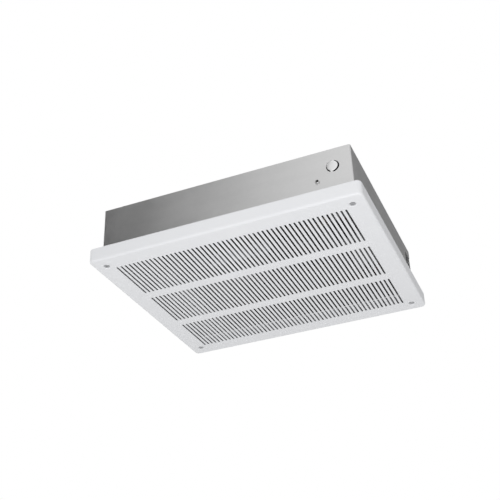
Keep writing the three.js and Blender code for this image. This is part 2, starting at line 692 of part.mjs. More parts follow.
// ---------------------------------------------------------------- fan motor, down from the strap's underside
// The laminated frame: the rotor's bore, and a window that leaves a leg for the coil.
function motorCore() {
  const windowX = ROTOR_R + AIR_GAP + POLE_WALL;
  const legEnd = COIL_LEG_X + COIL_LEG / 2;
  const outline = [
    [-CORE_REAR + CORE_CHAMFER, -CORE_HALF_W],
    [legEnd, -CORE_HALF_W],
    [legEnd, CORE_HALF_W],
    [-CORE_REAR + CORE_CHAMFER, CORE_HALF_W],
    [-CORE_REAR, CORE_HALF_W - CORE_CHAMFER],
    [-CORE_REAR, -CORE_HALF_W + CORE_CHAMFER],
  ];
  const through = [CORE_BOTTOM - 1, CORE_TOP + 1];
  const windowHalf = COIL_LENGTH / 2 + SEAT_GAP;
  return cut(
    plate(outline, [CORE_BOTTOM, CORE_TOP]),
    bar(ROTOR_R + AIR_GAP, through, [0, 0, 0], "z", ROTOR_SIDES),
    block([windowX, COIL_LEG_X - COIL_LEG / 2], [-windowHalf, windowHalf], through),
    ...both((s) => screwHole(through, [0, s * STUD_Y, 0], "z", STUD_R + HOLE_GAP)),
  );
}

// The coil's parts lie round the leg, along Y.
const coilMidZ = (CORE_TOP + CORE_BOTTOM) / 2;
function coilRing(inner, outer, [y0, y1]) {
  const [holeX, holeZ] = [COIL_LEG, STACK_T].map((size) => size / 2 + inner);
  const [bodyX, bodyZ] = [COIL_LEG, STACK_T].map((size) => size / 2 + outer);
  const past = 1;
  return cut(
    block([COIL_LEG_X - bodyX, COIL_LEG_X + bodyX], [y0, y1], [coilMidZ - bodyZ, coilMidZ + bodyZ]),
    block(
      [COIL_LEG_X - holeX, COIL_LEG_X + holeX],
      [y0 - past, y1 + past],
      [coilMidZ - holeZ, coilMidZ + holeZ],
    ),
  );
}

function coilBobbin() {
  const [inner, sleeve] = [SEAT_GAP, SEAT_GAP + BOBBIN_WALL];
  const rim = sleeve + SEAT_GAP + WINDING_T + BOBBIN_WALL / 2;
  const half = COIL_LENGTH / 2;
  return join(
    coilRing(inner, sleeve, [-half, half]),
    coilRing(inner, rim, [-half, -half + BOBBIN_WALL]),
    coilRing(inner, rim, [half - BOBBIN_WALL, half]),
  );
}

function coilWinding() {
  const inner = 2 * SEAT_GAP + BOBBIN_WALL;
  const half = COIL_LENGTH / 2 - BOBBIN_WALL - SEAT_GAP;
  return coilRing(inner, inner + WINDING_T, [-half, half]);
}

// A bar across the stack with a domed housing for a bush; its foot is at z = 0 and it points up.
function bearingBridge() {
  const housingR = BUSH_R + HOUSING_WALL;
  const pocket = BUSH_L + 2 * SEAT_GAP;
  const dome = turned([
    [0, 0],
    [housingR, 0],
    [housingR, pocket],
    [housingR - HOUSING_WALL, BRIDGE_H],
    [0, BRIDGE_H],
  ]);
  const foot = block([-BRIDGE_W / 2, BRIDGE_W / 2], [-CORE_HALF_W, CORE_HALF_W], [0, BRIDGE_T]);
  return cut(
    join(foot, dome),
    bar(BUSH_R + SEAT_GAP, [-1, pocket]),
    bar(SHAFT_R + 2 * SEAT_GAP, [0, BRIDGE_H + 1]),
    ...both((s) => screwHole([-1, BRIDGE_T + 1], [0, s * STUD_Y, 0], "z", STUD_R + HOLE_GAP)),
  );
}

// A barrel-shaped bush, seated in its housing's pocket.
function bearingBush() {
  const [low, high] = [SEAT_GAP, SEAT_GAP + BUSH_L];
  const bore = SHAFT_R + RUNNING_GAP;
  const shoulder = BUSH_R - BUSH_TAPER;
  const profile = [
    [bore, low],
    [shoulder, low],
    [BUSH_R, (low + high) / 2],
    [shoulder, high],
    [bore, high],
    [bore, low],
  ];
  return turned(profile);
}

const shaftTop = TOP_BRIDGE_Z + BUSH_L;
const hubTop = -MOTOR_RISE - FAN_DROP + HUB_FLANGE_T + BLADE_T / 2 + SEAT_GAP;
const shaftBottom = hubTop - HUB_L - SHAFT_R / 2;

function motorShaft() {
  const chamfer = SHAFT_R / 4;
  return turned([
    [0, shaftBottom],
    [SHAFT_R - chamfer, shaftBottom],
    [SHAFT_R, shaftBottom + chamfer],
    [SHAFT_R, shaftTop - chamfer],
    [SHAFT_R - chamfer, shaftTop],
    [0, shaftTop],
  ]);
}

// The rotor: laminations between two cast end rings.
function motorRotor() {
  const [low, high] = [CORE_BOTTOM + ROTOR_END_INSET, CORE_TOP - ROTOR_END_INSET];
  const bore = SHAFT_R + SEAT_GAP;
  return turned(
    [
      [bore, low],
      [ROTOR_R - ROTOR_RING, low],
      [ROTOR_R, low + ROTOR_RING],
      [ROTOR_R, high - ROTOR_RING],
      [ROTOR_R - ROTOR_RING, high],
      [bore, high],
      [bore, low],
    ],
    ROTOR_SIDES,
  );
}

// A long screw up through both bridges, the stack and the strap, and its nut on top.
const studBottom = LOW_BRIDGE_Z - BRIDGE_T - SEAT_GAP;
const studLength = STRAP_T + SEAT_GAP + NUT_H + STUD_R - studBottom;
const motorStud = () => screw(studLength, SCREW_HEAD_R, SCREW_HEAD_H, STUD_R);

function hexNut() {
  const hole = STUD_R + SEAT_GAP;
  return cut(
    bar(NUT_R, [0, NUT_H], [0, 0, 0], "z", 6),
    bar(hole, [-1, NUT_H + 1], [0, 0, 0], "z", SCREW_SIDES),
  );
}

// ---------------------------------------------------------------- fan, about its mid-plane
// One pressed sheet: a flat centre with twisted blades round it.
function fanBlade() {
  const centre = cut(
    bar(FAN_PLATE_R, [-BLADE_T / 2, BLADE_T / 2], [0, 0, 0], "z", 4 * FAN_BLADES),
    bar(HUB_R + SEAT_GAP, [-BLADE_T, BLADE_T]),
  );
  const blades = Array.from({ length: FAN_BLADES }, (_, i) => oneBlade((i * 2 * Math.PI) / FAN_BLADES));
  return join(centre, ...blades);
}

// A blade as a stack of cross-sections from root to tip, each one leaning more.
function oneBlade(turn) {
  const root = FAN_PLATE_R - BLADE_ROOT_LAP;
  const [stations, across] = [5, 4];
  const sections = Array.from({ length: stations }, (_, k) => {
    const u = k / (stations - 1);
    const radius = root + (FAN_R - root) * u;
    const lean = THREE.MathUtils.smoothstep(u, 0, BLADE_TWIST_ENDS);
    const fullAngle = THREE.MathUtils.lerp(BLADE_ROOT_ANGLE, BLADE_TIP_ANGLE, u);
    const halfAngle = fullAngle * (1 - BLADE_TIP_SWEEP * u * u * u);
    const edge = Array.from({ length: across + 1 }, (_, i) => {
      const v = (2 * i) / across - 1;
      const camber = BLADE_CAMBER * (1 - v * v);
      const angle = turn + v * halfAngle;
      const height = (v - camber) * lean * (BLADE_RISE - BLADE_T / 2);
      return [radius * Math.cos(angle), radius * Math.sin(angle), height];
    });
    const skin = (lift, points) => points.map(([x, y, z]) => new THREE.Vector3(x, y, z + lift));
    return [...skin(BLADE_T / 2, edge), ...skin(-BLADE_T / 2, edge).reverse()];
  });
  return lofted(sections);
}

// The turned hub, its flange on the sheet, its barrel through it with a screw into the shaft.
const hubLow = HUB_FLANGE_T + BLADE_T / 2 + SEAT_GAP - HUB_L;
const setScrewZ = hubLow + HUB_L / 3;
function fanHub() {
  const high = hubLow + HUB_L;
  const bore = SHAFT_R + SEAT_GAP;
  const profile = [
    [bore, hubLow],
    [HUB_R, hubLow],
    [HUB_R, high - HUB_FLANGE_T],
    [HUB_FLANGE_R, high - HUB_FLANGE_T],
    [HUB_FLANGE_R, high],
    [bore, high],
    [bore, hubLow],
  ];
  return cut(turned(profile), screwHole([0, HUB_R + 1], [0, 0, setScrewZ], "x", SET_SCREW_R + SEAT_GAP));
}

const setScrew = () =>
  bar(SET_SCREW_R, [SHAFT_R + SEAT_GAP, HUB_R], [0, 0, setScrewZ], "x", SCREW_SIDES);

// ---------------------------------------------------------------- heating element
// One sheathed rod folded into legs along X, with fins on each leg, as rings along its route.
function heatingElement() {
  const stations = [];
  const along = (x, y, heading, radius) => stations.push({ x, y, heading, radius });
  for (let legNumber = 0; legNumber < ELEMENT_LEGS; legNumber++) {
    const y = (legNumber - (ELEMENT_LEGS - 1) / 2) * LEG_SPACING;
    const way = legNumber % 2 ? 1 : -1; // the first leg runs towards -X
    const heading = way > 0 ? 0 : Math.PI;
    const last = legNumber === ELEMENT_LEGS - 1;
    if (legNumber === 0) along(ELEMENT_END_X, y, heading, SHEATH_R);
    for (let fin = 0; fin < FINS_PER_LEG; fin++) {
      const x = way * (fin - (FINS_PER_LEG - 1) / 2) * FIN_PITCH;
      along(x - (way * FIN_T) / 2, y, heading, SHEATH_R);
      along(x, y, heading, FIN_R);
      along(x + (way * FIN_T) / 2, y, heading, SHEATH_R);
    }
    if (last) along(way * ELEMENT_END_X, y, heading, SHEATH_R);
    else returnBend(way, y, heading, along);
  }
  return lofted(stations.map(elementRing));
}

// The half turn that joins one leg to the next.
function returnBend(way, y, heading, along) {
  const steps = 6;
  const radius = LEG_SPACING / 2;
  for (let i = 0; i <= steps; i++) {
    const swing = (i / steps) * Math.PI;
    const x = way * (LEG_END_X + radius * Math.sin(swing));
    along(x, y + radius * (1 - Math.cos(swing)), heading + way * swing, SHEATH_R);
  }
}

function elementRing({ x, y, heading, radius }) {
  const sides = 8;
  return Array.from({ length: sides }, (_, i) => {
    const angle = ((i + 0.5) / sides) * 2 * Math.PI;
    const out = radius * Math.cos(angle);
    const px = x + out * Math.sin(heading);
    const py = y - out * Math.cos(heading);
    return new THREE.Vector3(px, py, radius * Math.sin(angle));
  });
}

// An upright strip across the pan, with a notch open at the top for each leg, and a tab at each wall.
function elementSupport() {
  const wall = PAN_W / 2 - PAN_T - SEAT_GAP;
  const [back, front, tab] = [-SUPPORT_T / 2, SUPPORT_T / 2, SUPPORT_TAB - SUPPORT_T / 2];
  const half = [[back, wall], [tab, wall], [tab, wall - SUPPORT_T], [front, wall - SUPPORT_T]];
  const outline = [...half, ...half.map(([x, y]) => [x, -y]).reverse()];
  const floor = -(FIN_R + FIN_EDGE_GAP) + SEAT_GAP;
  const top = SHEATH_R;
  const notches = Array.from({ length: ELEMENT_LEGS }, (_, leg) => {
    const y = (leg - (ELEMENT_LEGS - 1) / 2) * LEG_SPACING;
    return legNotch(y, SHEATH_R + SEAT_GAP, 2 * top);
  });
  return cut(plate(outline, [floor, top]), ...notches);
}

function legNotch(y, radius, top) {
  const shape = new THREE.Shape();
  shape.moveTo(y + radius, top);
  shape.lineTo(y + radius, 0);
  shape.absarc(y, 0, radius, 0, Math.PI, true);
  shape.lineTo(y - radius, top);
  return plate(shape, [-SUPPORT_T, SUPPORT_T], "x", 3);
}

// A flanged collar where the rod passes the pan's wall, pointing up here.
function elementBushing() {
  const bore = SHEATH_R + SEAT_GAP;
  const body = SHEATH_R + BUSHING_WALL;
  const flange = body + BUSHING_FLANGE;
  const inside = -(PAN_T + BUSHING_FLANGE);
  const outside = SEAT_GAP + BUSHING_FLANGE;
  const profile = [
    [bore, inside],
    [body, inside],
    [body, SEAT_GAP],
    [flange, SEAT_GAP],
    [flange, outside],
    [bore, outside],
    [bore, inside],
  ];
  return turned(profile);
}

// The cold pin on the rod's end, with its spade, along +X.
function elementTerminal() {
  const pin = bar(PIN_R, [SEAT_GAP, SEAT_GAP + PIN_L], [0, 0, 0], "x", SCREW_SIDES);
  const spade = block(
    [PIN_L, SEAT_GAP + PIN_L + SPADE_L],
    [-SPADE_W / 2, SPADE_W / 2],
    [-SPADE_T / 2, SPADE_T / 2],
  );
  return join(pin, spade);
}

// ---------------------------------------------------------------- controls, from the heater pan's top
// The bent plate on the pan's end wall that the relay and the cut-out sit on.
const plateX0 = PAN_L / 2 + SEAT_GAP;
const plateScrewZ = -PLATE_DROP + PLATE_FLANGE / 2;
const plateScrewY = (s) => (s > 0 ? PLATE_Y1 - PLATE_SCREW_INSET : PLATE_Y0 + PLATE_SCREW_INSET);
const plateTop = -PLATE_DROP;

function controlPlate() {
  const along = [PLATE_Y0, PLATE_Y1];
  const shelf = block([plateX0, PAN_L / 2 + PLATE_W], along, [plateTop - PLATE_T, plateTop]);
  const flangeSpan = [plateTop - PLATE_T / 2, plateTop + PLATE_FLANGE];
  const flange = block([plateX0, plateX0 + PLATE_T], along, flangeSpan);
  const edge = PAN_L / 2 + PLATE_W;
  const lip = block([edge - PLATE_T, edge], along, [plateTop - PLATE_T / 2, plateTop + PLATE_LIP]);
  const throughFlange = [plateX0 - 1, plateX0 + 2 * PLATE_T];
  return cut(
    join(shelf, flange, lip),
    bar(LIMIT_COLLAR_R + SEAT_GAP, [plateTop - 3 * PLATE_T, plateTop + PLATE_T], [CONTROL_X, LIMIT_Y, 0]),
    ...both((s) => screwHole(throughFlange, [0, plateScrewY(s), plateScrewZ], "x")),
  );
}

// Push-on terminals that stand up from z.
function spades(places, z) {
  return places.map(([x, y]) =>
    block([x - SPADE_W / 2, x + SPADE_W / 2], [y - SPADE_T / 2, y + SPADE_T / 2], [z - 1, z + SPADE_L]),
  );
}

const relayTop = plateTop + SEAT_GAP + RELAY_SIZE[2];
const relaySpades = [-1, 1].flatMap((sx) =>
  [-1, 1].map((sy) => [CONTROL_X + (sx * RELAY_SPADES[0]) / 2, RELAY_Y + (sy * RELAY_SPADES[1]) / 2]),
);
function fanDelayRelay() {
  const [x, y] = [RELAY_SIZE[0] / 2, RELAY_SIZE[1] / 2];
  const seat = plateTop + SEAT_GAP;
  const half = [
    [x + RELAY_FOOT, seat],
    [x + RELAY_FOOT, seat + RELAY_FOOT],
    [x, seat + RELAY_FOOT],
    [x, relayTop],
  ];
  const outline = [...half, ...half.map(([px, pz]) => [-px, pz]).reverse()];
  const body = plate(outline.map(([px, pz]) => [CONTROL_X + px, pz]), [-RELAY_Y - y, -RELAY_Y + y], "y");
  return join(body, ...spades(relaySpades, relayTop));
}

const limitTop = plateTop + SEAT_GAP + LIMIT_H;
const limitSpades = both((s) => [CONTROL_X, LIMIT_Y + (s * LIMIT_SPADES) / 2]);
const resetLow = plateTop - PLATE_T - LIMIT_COLLAR_H - RESET_PROUD;
function limitCutout() {
  const seat = plateTop + SEAT_GAP;
  const collarLow = plateTop - PLATE_T - LIMIT_COLLAR_H;
  const at = [CONTROL_X, LIMIT_Y, 0];
  const body = turned(
    [
      [0, collarLow],
      [LIMIT_COLLAR_R, collarLow],
      [LIMIT_COLLAR_R, seat],
      [LIMIT_R, seat],
      [LIMIT_R, limitTop - LIMIT_CHAMFER],
      [LIMIT_R - LIMIT_CHAMFER, limitTop],
      [0, limitTop],
    ],
    SMALL_SIDES,
    at,
  );
  const bore = bar(RESET_R + SEAT_GAP, [collarLow - 1, resetTop + RESET_TRAVEL + SEAT_GAP], at);
  return cut(join(body, ...spades(limitSpades, limitTop)), bore);
}

const resetTop = plateTop + LIMIT_H / 2;
function resetButton() {
  return turned([
    [0, resetLow],
    [RESET_R - RESET_CHAMFER, resetLow],
    [RESET_R, resetLow + RESET_CHAMFER],
    [RESET_R, resetTop],
    [0, resetTop],
  ]);
}

// ---------------------------------------------------------------- wiring compartment, in the box's frame
// A bent cover that closes off the corner behind the knockouts, with a tab for the side screw.
function wiringCover() {
  const top = -BOX_T - SEAT_GAP;
  const past = BOX_T;
  const shell = cut(
    block([COVER_X0, COVER_X1], [COVER_Y0, COVER_END_Y], [COVER_FLOOR_Z, top]),
    block(
      [COVER_X0 + COVER_T, COVER_X1 + past],
      [COVER_Y0 - past, COVER_END_Y - COVER_T],
      [COVER_FLOOR_Z + COVER_T, top + past],
    ),
  );
  const tab = block(
    [SIDE_SCREW_X - COVER_TAB / 2, SIDE_SCREW_X + COVER_TAB / 2],
    [COVER_Y0 + COVER_T / 4, COVER_Y0 + COVER_T],
    [COVER_FLOOR_Z + COVER_T / 2, -SIDE_SCREW_DROP + COVER_TAB / 2],
  );
  const grommetHole = bar(
    GROMMET_R + SEAT_GAP,
    [COVER_END_Y - 2 * COVER_T, COVER_END_Y + COVER_T],
    [COVER_MID_X, 0, -GROMMET_DROP],
    "y",
  );
  const tabHole = screwHole([COVER_Y0 - 1, COVER_Y0 + 2 * COVER_T], [SIDE_SCREW_X, 0, -SIDE_SCREW_DROP], "y");
  return cut(join(shell, tab), grommetHole, tabHole);
}

// A ring with a groove that the cover's wall sits in, pointing up here.
function leadGrommet() {
  const rim = GROMMET_R + GROMMET_FLANGE;
  const half = COVER_T / 2 + SEAT_GAP;
  const end = half + GROMMET_FLANGE;
  const profile = [
    [GROMMET_BORE_R, -end],
    [rim - GROMMET_CHAMFER, -end],
    [rim, -half],
    [GROMMET_R, -half],
    [GROMMET_R, half],
    [rim, half],
    [rim - GROMMET_CHAMFER, end],
    [GROMMET_BORE_R, end],
    [GROMMET_BORE_R, -end],
  ];
  return turned(profile);
}

// The terminal block hangs from the ceiling of the box, its barriers and screws facing down.
const blockTop = -BOX_T - SEAT_GAP;
const blockPoles = [-1, 0, 1];
const polePitch = (BLOCK_SIZE[1] - BLOCK_BARRIER_T) / blockPoles.length;
function terminalBlock() {
  const [x, y, z] = [BLOCK_SIZE[0] / 2, BLOCK_SIZE[1] / 2, blockTop - BLOCK_SIZE[2]];
  const body = block([COVER_MID_X - x, COVER_MID_X + x], [BLOCK_Y - y, BLOCK_Y + y], [z, blockTop]);
  const barriers = [-1.5, -0.5, 0.5, 1.5].map((pole) => {
    const mid = BLOCK_Y + pole * polePitch;
    const along = [mid - BLOCK_BARRIER_T / 2, mid + BLOCK_BARRIER_T / 2];
    return block([COVER_MID_X - x, COVER_MID_X + x], along, [z - BLOCK_BARRIER_H, z + 1]);
  });
  const holes = blockPoles.map((pole) =>
    screwHole([z - 1, z + SCREW_PROUD + 2], [COVER_MID_X, BLOCK_Y + pole * polePitch, 0]),
  );
  return cut(join(body, ...barriers), ...holes);
}

// ---------------------------------------------------------------- leads, each from terminal to terminal
const blockFace = blockTop - BLOCK_SIZE[2];
const leadSeat = LEAD_R + SEAT_GAP;
const aboveSpade = ([x, y], top) => [x, y, PAN_TOP + top + SPADE_L + SEAT_GAP];
const shifted = ([x, y, z], dx, dy, dz) => [x + dx, y + dy, z + dz];

// From a pole of the block, through the grommet, and down onto a spade from above.
function supplyLead(pole, side, spade, top, steps) {
  const start = [COVER_MID_X + side * BLOCK_LEAD_SIDE, BLOCK_Y + pole * polePitch, blockFace - leadSeat];
  const pass = [COVER_MID_X + side * GROMMET_LEAD_SIDE, COVER_END_Y, -GROMMET_DROP];
  const end = aboveSpade(spade, top);
  return lead(
    [
      start,
      shifted(start, 0, LEAD_TURN, -LEAD_RUN),
      shifted(pass, 0, -LEAD_RUN, 0),
      pass,
      shifted(pass, 0, LEAD_RUN, 0),
      shifted(end, 0, -LEAD_TURN, LEAD_STUB + LEAD_TURN),
      shifted(end, 0, 0, LEAD_STUB),
      end,
    ],
    steps,
  );
}

// From a spade on the control plate, out past the plate, and down to the element's end.
function elementLead(spade, top, side, steps) {
  const start = aboveSpade(spade, top);
  const end = [SPADE_X + SPADE_L + SEAT_GAP, side * ELEMENT_END_Y, PAN_TOP + ELEMENT_Z];
  const past = side > 0 ? PLATE_Y1 : PLATE_Y0;
  return lead(
    [
      start,
      shifted(start, 0, 0, LEAD_STUB),
      shifted(start, LEAD_EASE, (side * LEAD_EASE) / 3, LEAD_STUB + LEAD_EASE),
      [CONTROL_X + ELEMENT_LEAD_OUT, past + side * LEAD_TURN, start[2] - LEAD_TURN],
      [CONTROL_X + ELEMENT_LEAD_BULGE, (past + end[1]) / 2, (start[2] + end[2]) / 2],
      shifted(end, LEAD_STUB + LEAD_TURN, -side * ELEMENT_LEAD_TAIL, LEAD_EASE / 3),
      shifted(end, LEAD_STUB, 0, 0),
      end,
    ],
    steps,
  );
}

// From the relay over the pan's top and along the strap's edge to the coil.
function motorLead(spade, aside, steps) {
  const start = aboveSpade(spade, relayTop);
  const beside = STRAP_W / 2 + leadSeat + LEAD_MARGIN + aside;
  const strapTop = PAN_TOP + MOTOR_RISE + STRAP_T / 2;
  const coilY = COIL_LEG_X - COIL_LEG / 2 - WINDING_T / 2 + aside;
  const coilEnd = [COIL_LENGTH / 2 + SEAT_GAP, coilY, strapTop];
  return lead(
    [
      start,
      shifted(start, 0, 0, LEAD_STUB),
      shifted(start, -LEAD_TURN, 0, LEAD_STUB + LEAD_EASE),
      [PAN_L / 2 - PAN_EDGE_LEAD, beside + PAN_EDGE_LEAD, PAN_TOP + leadSeat + LEAD_MARGIN],
      [STRAP_RISER_X + LEAD_TURN, beside + LEAD_MARGIN, PAN_TOP + leadSeat + LEAD_EASE],
      [STRAP_RISER_X - STRAP_LEAN - LEAD_EASE, beside, strapTop],
      [(STRAP_RISER_X + COIL_LENGTH) / 2, beside, strapTop],
      shifted(coilEnd, LEAD_STUB + LEAD_RUN, (beside - coilY) / 2, 0),
      shifted(coilEnd, LEAD_STUB, 0, 0),
      coilEnd,
    ],
    steps,
  );
}

// ---------------------------------------------------------------- finishes
function finish(color, roughness, metalness) {
  return new THREE.MeshStandardMaterial({ color, roughness, metalness });
}
const finishes = {
  whitePaint: finish(0xe6e7ea, 0.45, 0),
  galvanised: finish(0xb9bab9, 0.42, 0.85),
  zincPlated: finish(0xc4c6c8, 0.35, 0.9),
  darkSteel: finish(0x5d5f61, 0.5, 0.8),
  aluminium: finish(0xc9cbcd, 0.4, 0.9),
  bronze: finish(0xa8794a, 0.45, 0.85),
  copper: finish(0xa3552f, 0.4, 0.7),
  sheath: finish(0x6f6a63, 0.55, 0.7),
  nylon: finish(0xe9e2cf, 0.5, 0),
  phenolic: finish(0x2a2a2c, 0.5, 0),
  ceramic: finish(0xe4ddd0, 0.6, 0),
  redPlastic: finish(0xb5221f, 0.45, 0),
  greenScrew: finish(0x2d7a44, 0.4, 0.5),
  leadRed: finish(0xb0322b, 0.6, 0),
  leadBlack: finish(0x232325, 0.6, 0),
  leadWhite: finish(0xdcdcd8, 0.6, 0),
};

// ---------------------------------------------------------------- assembly
const heater = new THREE.Group();
const grilleGroup = new THREE.Group();
const heaterModule = new THREE.Group();
const motor = new THREE.Group();
const fan = new THREE.Group();
heater.add(grilleGroup, heaterModule);
heaterModule.add(motor, fan);
grilleGroup.position.z = -(BOX_H + GRILLE_DEPTH);
heaterModule.position.z = PAN_TOP;
motor.position.z = MOTOR_RISE;
motor.rotation.z = Math.PI / 2;
fan.position.z = -FAN_DROP;

function place(group, name, solid, material, at = [0, 0, 0], turn = [0, 0, 0]) {
  const mesh = new THREE.Mesh(geometryOf(solid), material);
  mesh.name = name;
  mesh.position.set(...at);
  mesh.rotation.set(...turn);
  group.add(mesh);
}

const corners = [[-1, -1], [1, -1], [-1, 1], [1, 1]];
const DOWN = [Math.PI, 0, 0];
const TO_PLUS_X = [0, Math.PI / 2, 0];
const TO_MINUS_X = [0, -Math.PI / 2, 0];
const TO_PLUS_Y = [-Math.PI / 2, 0, 0];

place(heater, "back_box", backBox(), finishes.galvanised);
place(grilleGroup, "grille", grille(), finishes.whitePaint);
const grilleScrewSolid = grilleScrew();
const sheetScrew = screw(PAN_T + BOX_T + SEAT_GAP + SCREW_PROUD);
const strapScrew = screw(STRAP_T + PAN_T + SCREW_PROUD);
const plateScrew = screw(PLATE_T + PAN_T + SCREW_PROUD);
const coverScrew = screw(BOX_T + COVER_T + SCREW_PROUD);
const earthScrew = screw(BOX_T + EARTH_SCREW_PROUD, EARTH_SCREW_HEAD_R);
corners.forEach(([sx, sy], i) => {
  const at = [sx * GRILLE_SCREW_X, sy * GRILLE_SCREW_Y, 0];
  place(grilleGroup, `grille_screw_${i + 1}`, grilleScrewSolid, finishes.zincPlated, at);
});

place(heaterModule, "heater_pan", heaterPan(), finishes.galvanised);
corners.forEach(([sx, sy], i) => {
  const at = [sx * PAN_SCREW_X, sy * PAN_SCREW_Y, -PAN_DEPTH - SEAT_GAP];
  place(heaterModule, `pan_screw_${i + 1}`, sheetScrew, finishes.zincPlated, at);
});
place(heaterModule, "motor_strap", motorStrap(), finishes.galvanised, [0, 0, 0], [0, 0, Math.PI / 2]);
corners.forEach(([sx, sy], i) => {
  const at = [sx * STRAP_SCREW_X, sy * STRAP_SCREW_Y, 2 * SEAT_GAP + STRAP_T];
  place(heaterModule, `strap_screw_${i + 1}`, strapScrew, finishes.zincPlated, at, DOWN);
});

place(motor, "motor_core", motorCore(), finishes.darkSteel);
place(motor, "coil_bobbin", coilBobbin(), finishes.nylon);
place(motor, "coil_winding", coilWinding(), finishes.copper);
place(motor, "upper_bearing_bridge", bearingBridge(), finishes.aluminium, [0, 0, TOP_BRIDGE_Z]);
place(motor, "lower_bearing_bridge", bearingBridge(), finishes.aluminium, [0, 0, LOW_BRIDGE_Z], DOWN);
place(motor, "upper_bush", bearingBush(), finishes.bronze, [0, 0, TOP_BRIDGE_Z]);
place(motor, "lower_bush", bearingBush(), finishes.bronze, [0, 0, LOW_BRIDGE_Z], DOWN);
place(motor, "motor_shaft", motorShaft(), finishes.zincPlated);
place(motor, "motor_rotor", motorRotor(), finishes.aluminium);
[-1, 1].forEach((s, i) => {
  place(motor, `motor_stud_${i + 1}`, motorStud(), finishes.zincPlated, [0, s * STUD_Y, studBottom]);
  place(motor, `motor_nut_${i + 1}`, hexNut(), finishes.zincPlated, [0, s * STUD_Y, STRAP_T + SEAT_GAP]);
});

place(fan, "fan_blade", fanBlade(), finishes.aluminium);
place(fan, "fan_hub", fanHub(), finishes.zincPlated);
place(fan, "fan_set_screw", setScrew(), finishes.darkSteel);

place(heaterModule, "heating_element", heatingElement(), finishes.sheath, [0, 0, ELEMENT_Z]);
[-1, 1].forEach((s, i) => {
  const foot = [s * SUPPORT_X, 0, ELEMENT_Z];
  const outwards = [0, 0, s > 0 ? 0 : Math.PI];
  place(heaterModule, `element_support_${i + 1}`, elementSupport(), finishes.galvanised, foot, outwards);
  const end = [PAN_L / 2, s * ELEMENT_END_Y, ELEMENT_Z];
  place(heaterModule, `element_bushing_${i + 1}`, elementBushing(), finishes.ceramic, end, TO_PLUS_X);
  const tip = [ELEMENT_END_X, s * ELEMENT_END_Y, ELEMENT_Z];
  place(heaterModule, `element_terminal_${i + 1}`, elementTerminal(), finishes.zincPlated, tip);
});

place(heaterModule, "control_plate", controlPlate(), finishes.galvanised);
[-1, 1].forEach((s, i) => {
  const at = [plateX0 + PLATE_T + SEAT_GAP, plateScrewY(s), plateScrewZ];
  place(heaterModule, `plate_screw_${i + 1}`, plateScrew, finishes.zincPlated, at, TO_MINUS_X);
});
place(heaterModule, "fan_delay_relay", fanDelayRelay(), finishes.phenolic);
place(heaterModule, "limit_cutout", limitCutout(), finishes.phenolic);
place(heaterModule, "reset_button", resetButton(), finishes.redPlastic, [CONTROL_X, LIMIT_Y, 0]);

place(heater, "wiring_cover", wiringCover(), finishes.galvanised);
const sideScrewAt = [SIDE_SCREW_X, -BOX_W / 2 - SEAT_GAP, -SIDE_SCREW_DROP];
place(heater, "side_screw", coverScrew, finishes.zincPlated, sideScrewAt, TO_PLUS_Y);
const grommetSeat = [COVER_MID_X, COVER_END_Y - COVER_T / 2, -GROMMET_DROP];
place(heater, "lead_grommet", leadGrommet(), finishes.phenolic, grommetSeat, TO_PLUS_Y);
place(heater, "terminal_block", terminalBlock(), finishes.phenolic);
blockPoles.forEach((pole, i) => {
  const at = [COVER_MID_X, BLOCK_Y + pole * polePitch, blockFace - SEAT_GAP];
  place(heater, `terminal_screw_${i + 1}`, screw(SCREW_PROUD), finishes.zincPlated, at);
});
const groundAt = [COVER_MID_X, GROUND_Y, -GROUND_DIMPLE_DEPTH - BOX_T - SEAT_GAP];
place(heater, "ground_screw", earthScrew, finishes.greenScrew, groundAt);

const [motorSpadeA, motorSpadeB, neutralSpade, elementSpade] = relaySpades;
place(heater, "line_lead", supplyLead(1, -1, limitSpades[1], limitTop, 16), finishes.leadBlack);
place(heater, "neutral_lead", supplyLead(0, 1, neutralSpade, relayTop, 18), finishes.leadWhite);
place(heater, "element_lead_1", elementLead(limitSpades[0], limitTop, -1, 14), finishes.leadRed);
place(heater, "element_lead_2", elementLead(elementSpade, relayTop, 1, 12), finishes.leadRed);
place(heater, "motor_lead_1", motorLead(motorSpadeA, 0, 18), finishes.leadBlack);
place(heater, "motor_lead_2", motorLead(motorSpadeB, LEAD_SPACING, 18), finishes.leadWhite);

export default heater;
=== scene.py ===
# Ceiling mounted fan heater: a galvanised back box, a slotted white grille under it, and the fan,
# motor, element and controls between them. Metres, in the frame of the CAD model.
import math
import bmesh
import bpy
from mathutils import Matrix, Vector, geometry


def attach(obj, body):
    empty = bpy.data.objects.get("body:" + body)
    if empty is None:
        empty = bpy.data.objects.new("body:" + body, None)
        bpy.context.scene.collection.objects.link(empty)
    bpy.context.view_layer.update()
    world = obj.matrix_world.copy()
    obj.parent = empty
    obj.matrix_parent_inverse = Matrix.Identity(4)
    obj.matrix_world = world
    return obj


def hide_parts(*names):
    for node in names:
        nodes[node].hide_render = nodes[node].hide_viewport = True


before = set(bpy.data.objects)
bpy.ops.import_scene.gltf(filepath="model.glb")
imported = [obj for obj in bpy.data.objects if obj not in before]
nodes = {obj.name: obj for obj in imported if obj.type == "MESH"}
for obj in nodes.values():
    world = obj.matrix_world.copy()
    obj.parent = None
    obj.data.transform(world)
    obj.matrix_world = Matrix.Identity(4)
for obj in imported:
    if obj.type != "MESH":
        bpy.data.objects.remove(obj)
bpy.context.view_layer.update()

# ------------------------------------------------------------------ camera
# It stands below the heater and in front of it, near its right-hand end, and looks up. Its place,
# its turns and its lens lay the model's corners on those of the photographed heater.
CAMERA_AT = Vector((0.5059, -1.3405, -0.889))
LOOK_AZIMUTH, LOOK_ELEVATION, LOOK_ROLL = (math.radians(a) for a in (-21.7856, 30.7682, -2.2671))
LENS, SENSOR = 64.36, 36.0
NEAREST, FARTHEST = 0.01, 60


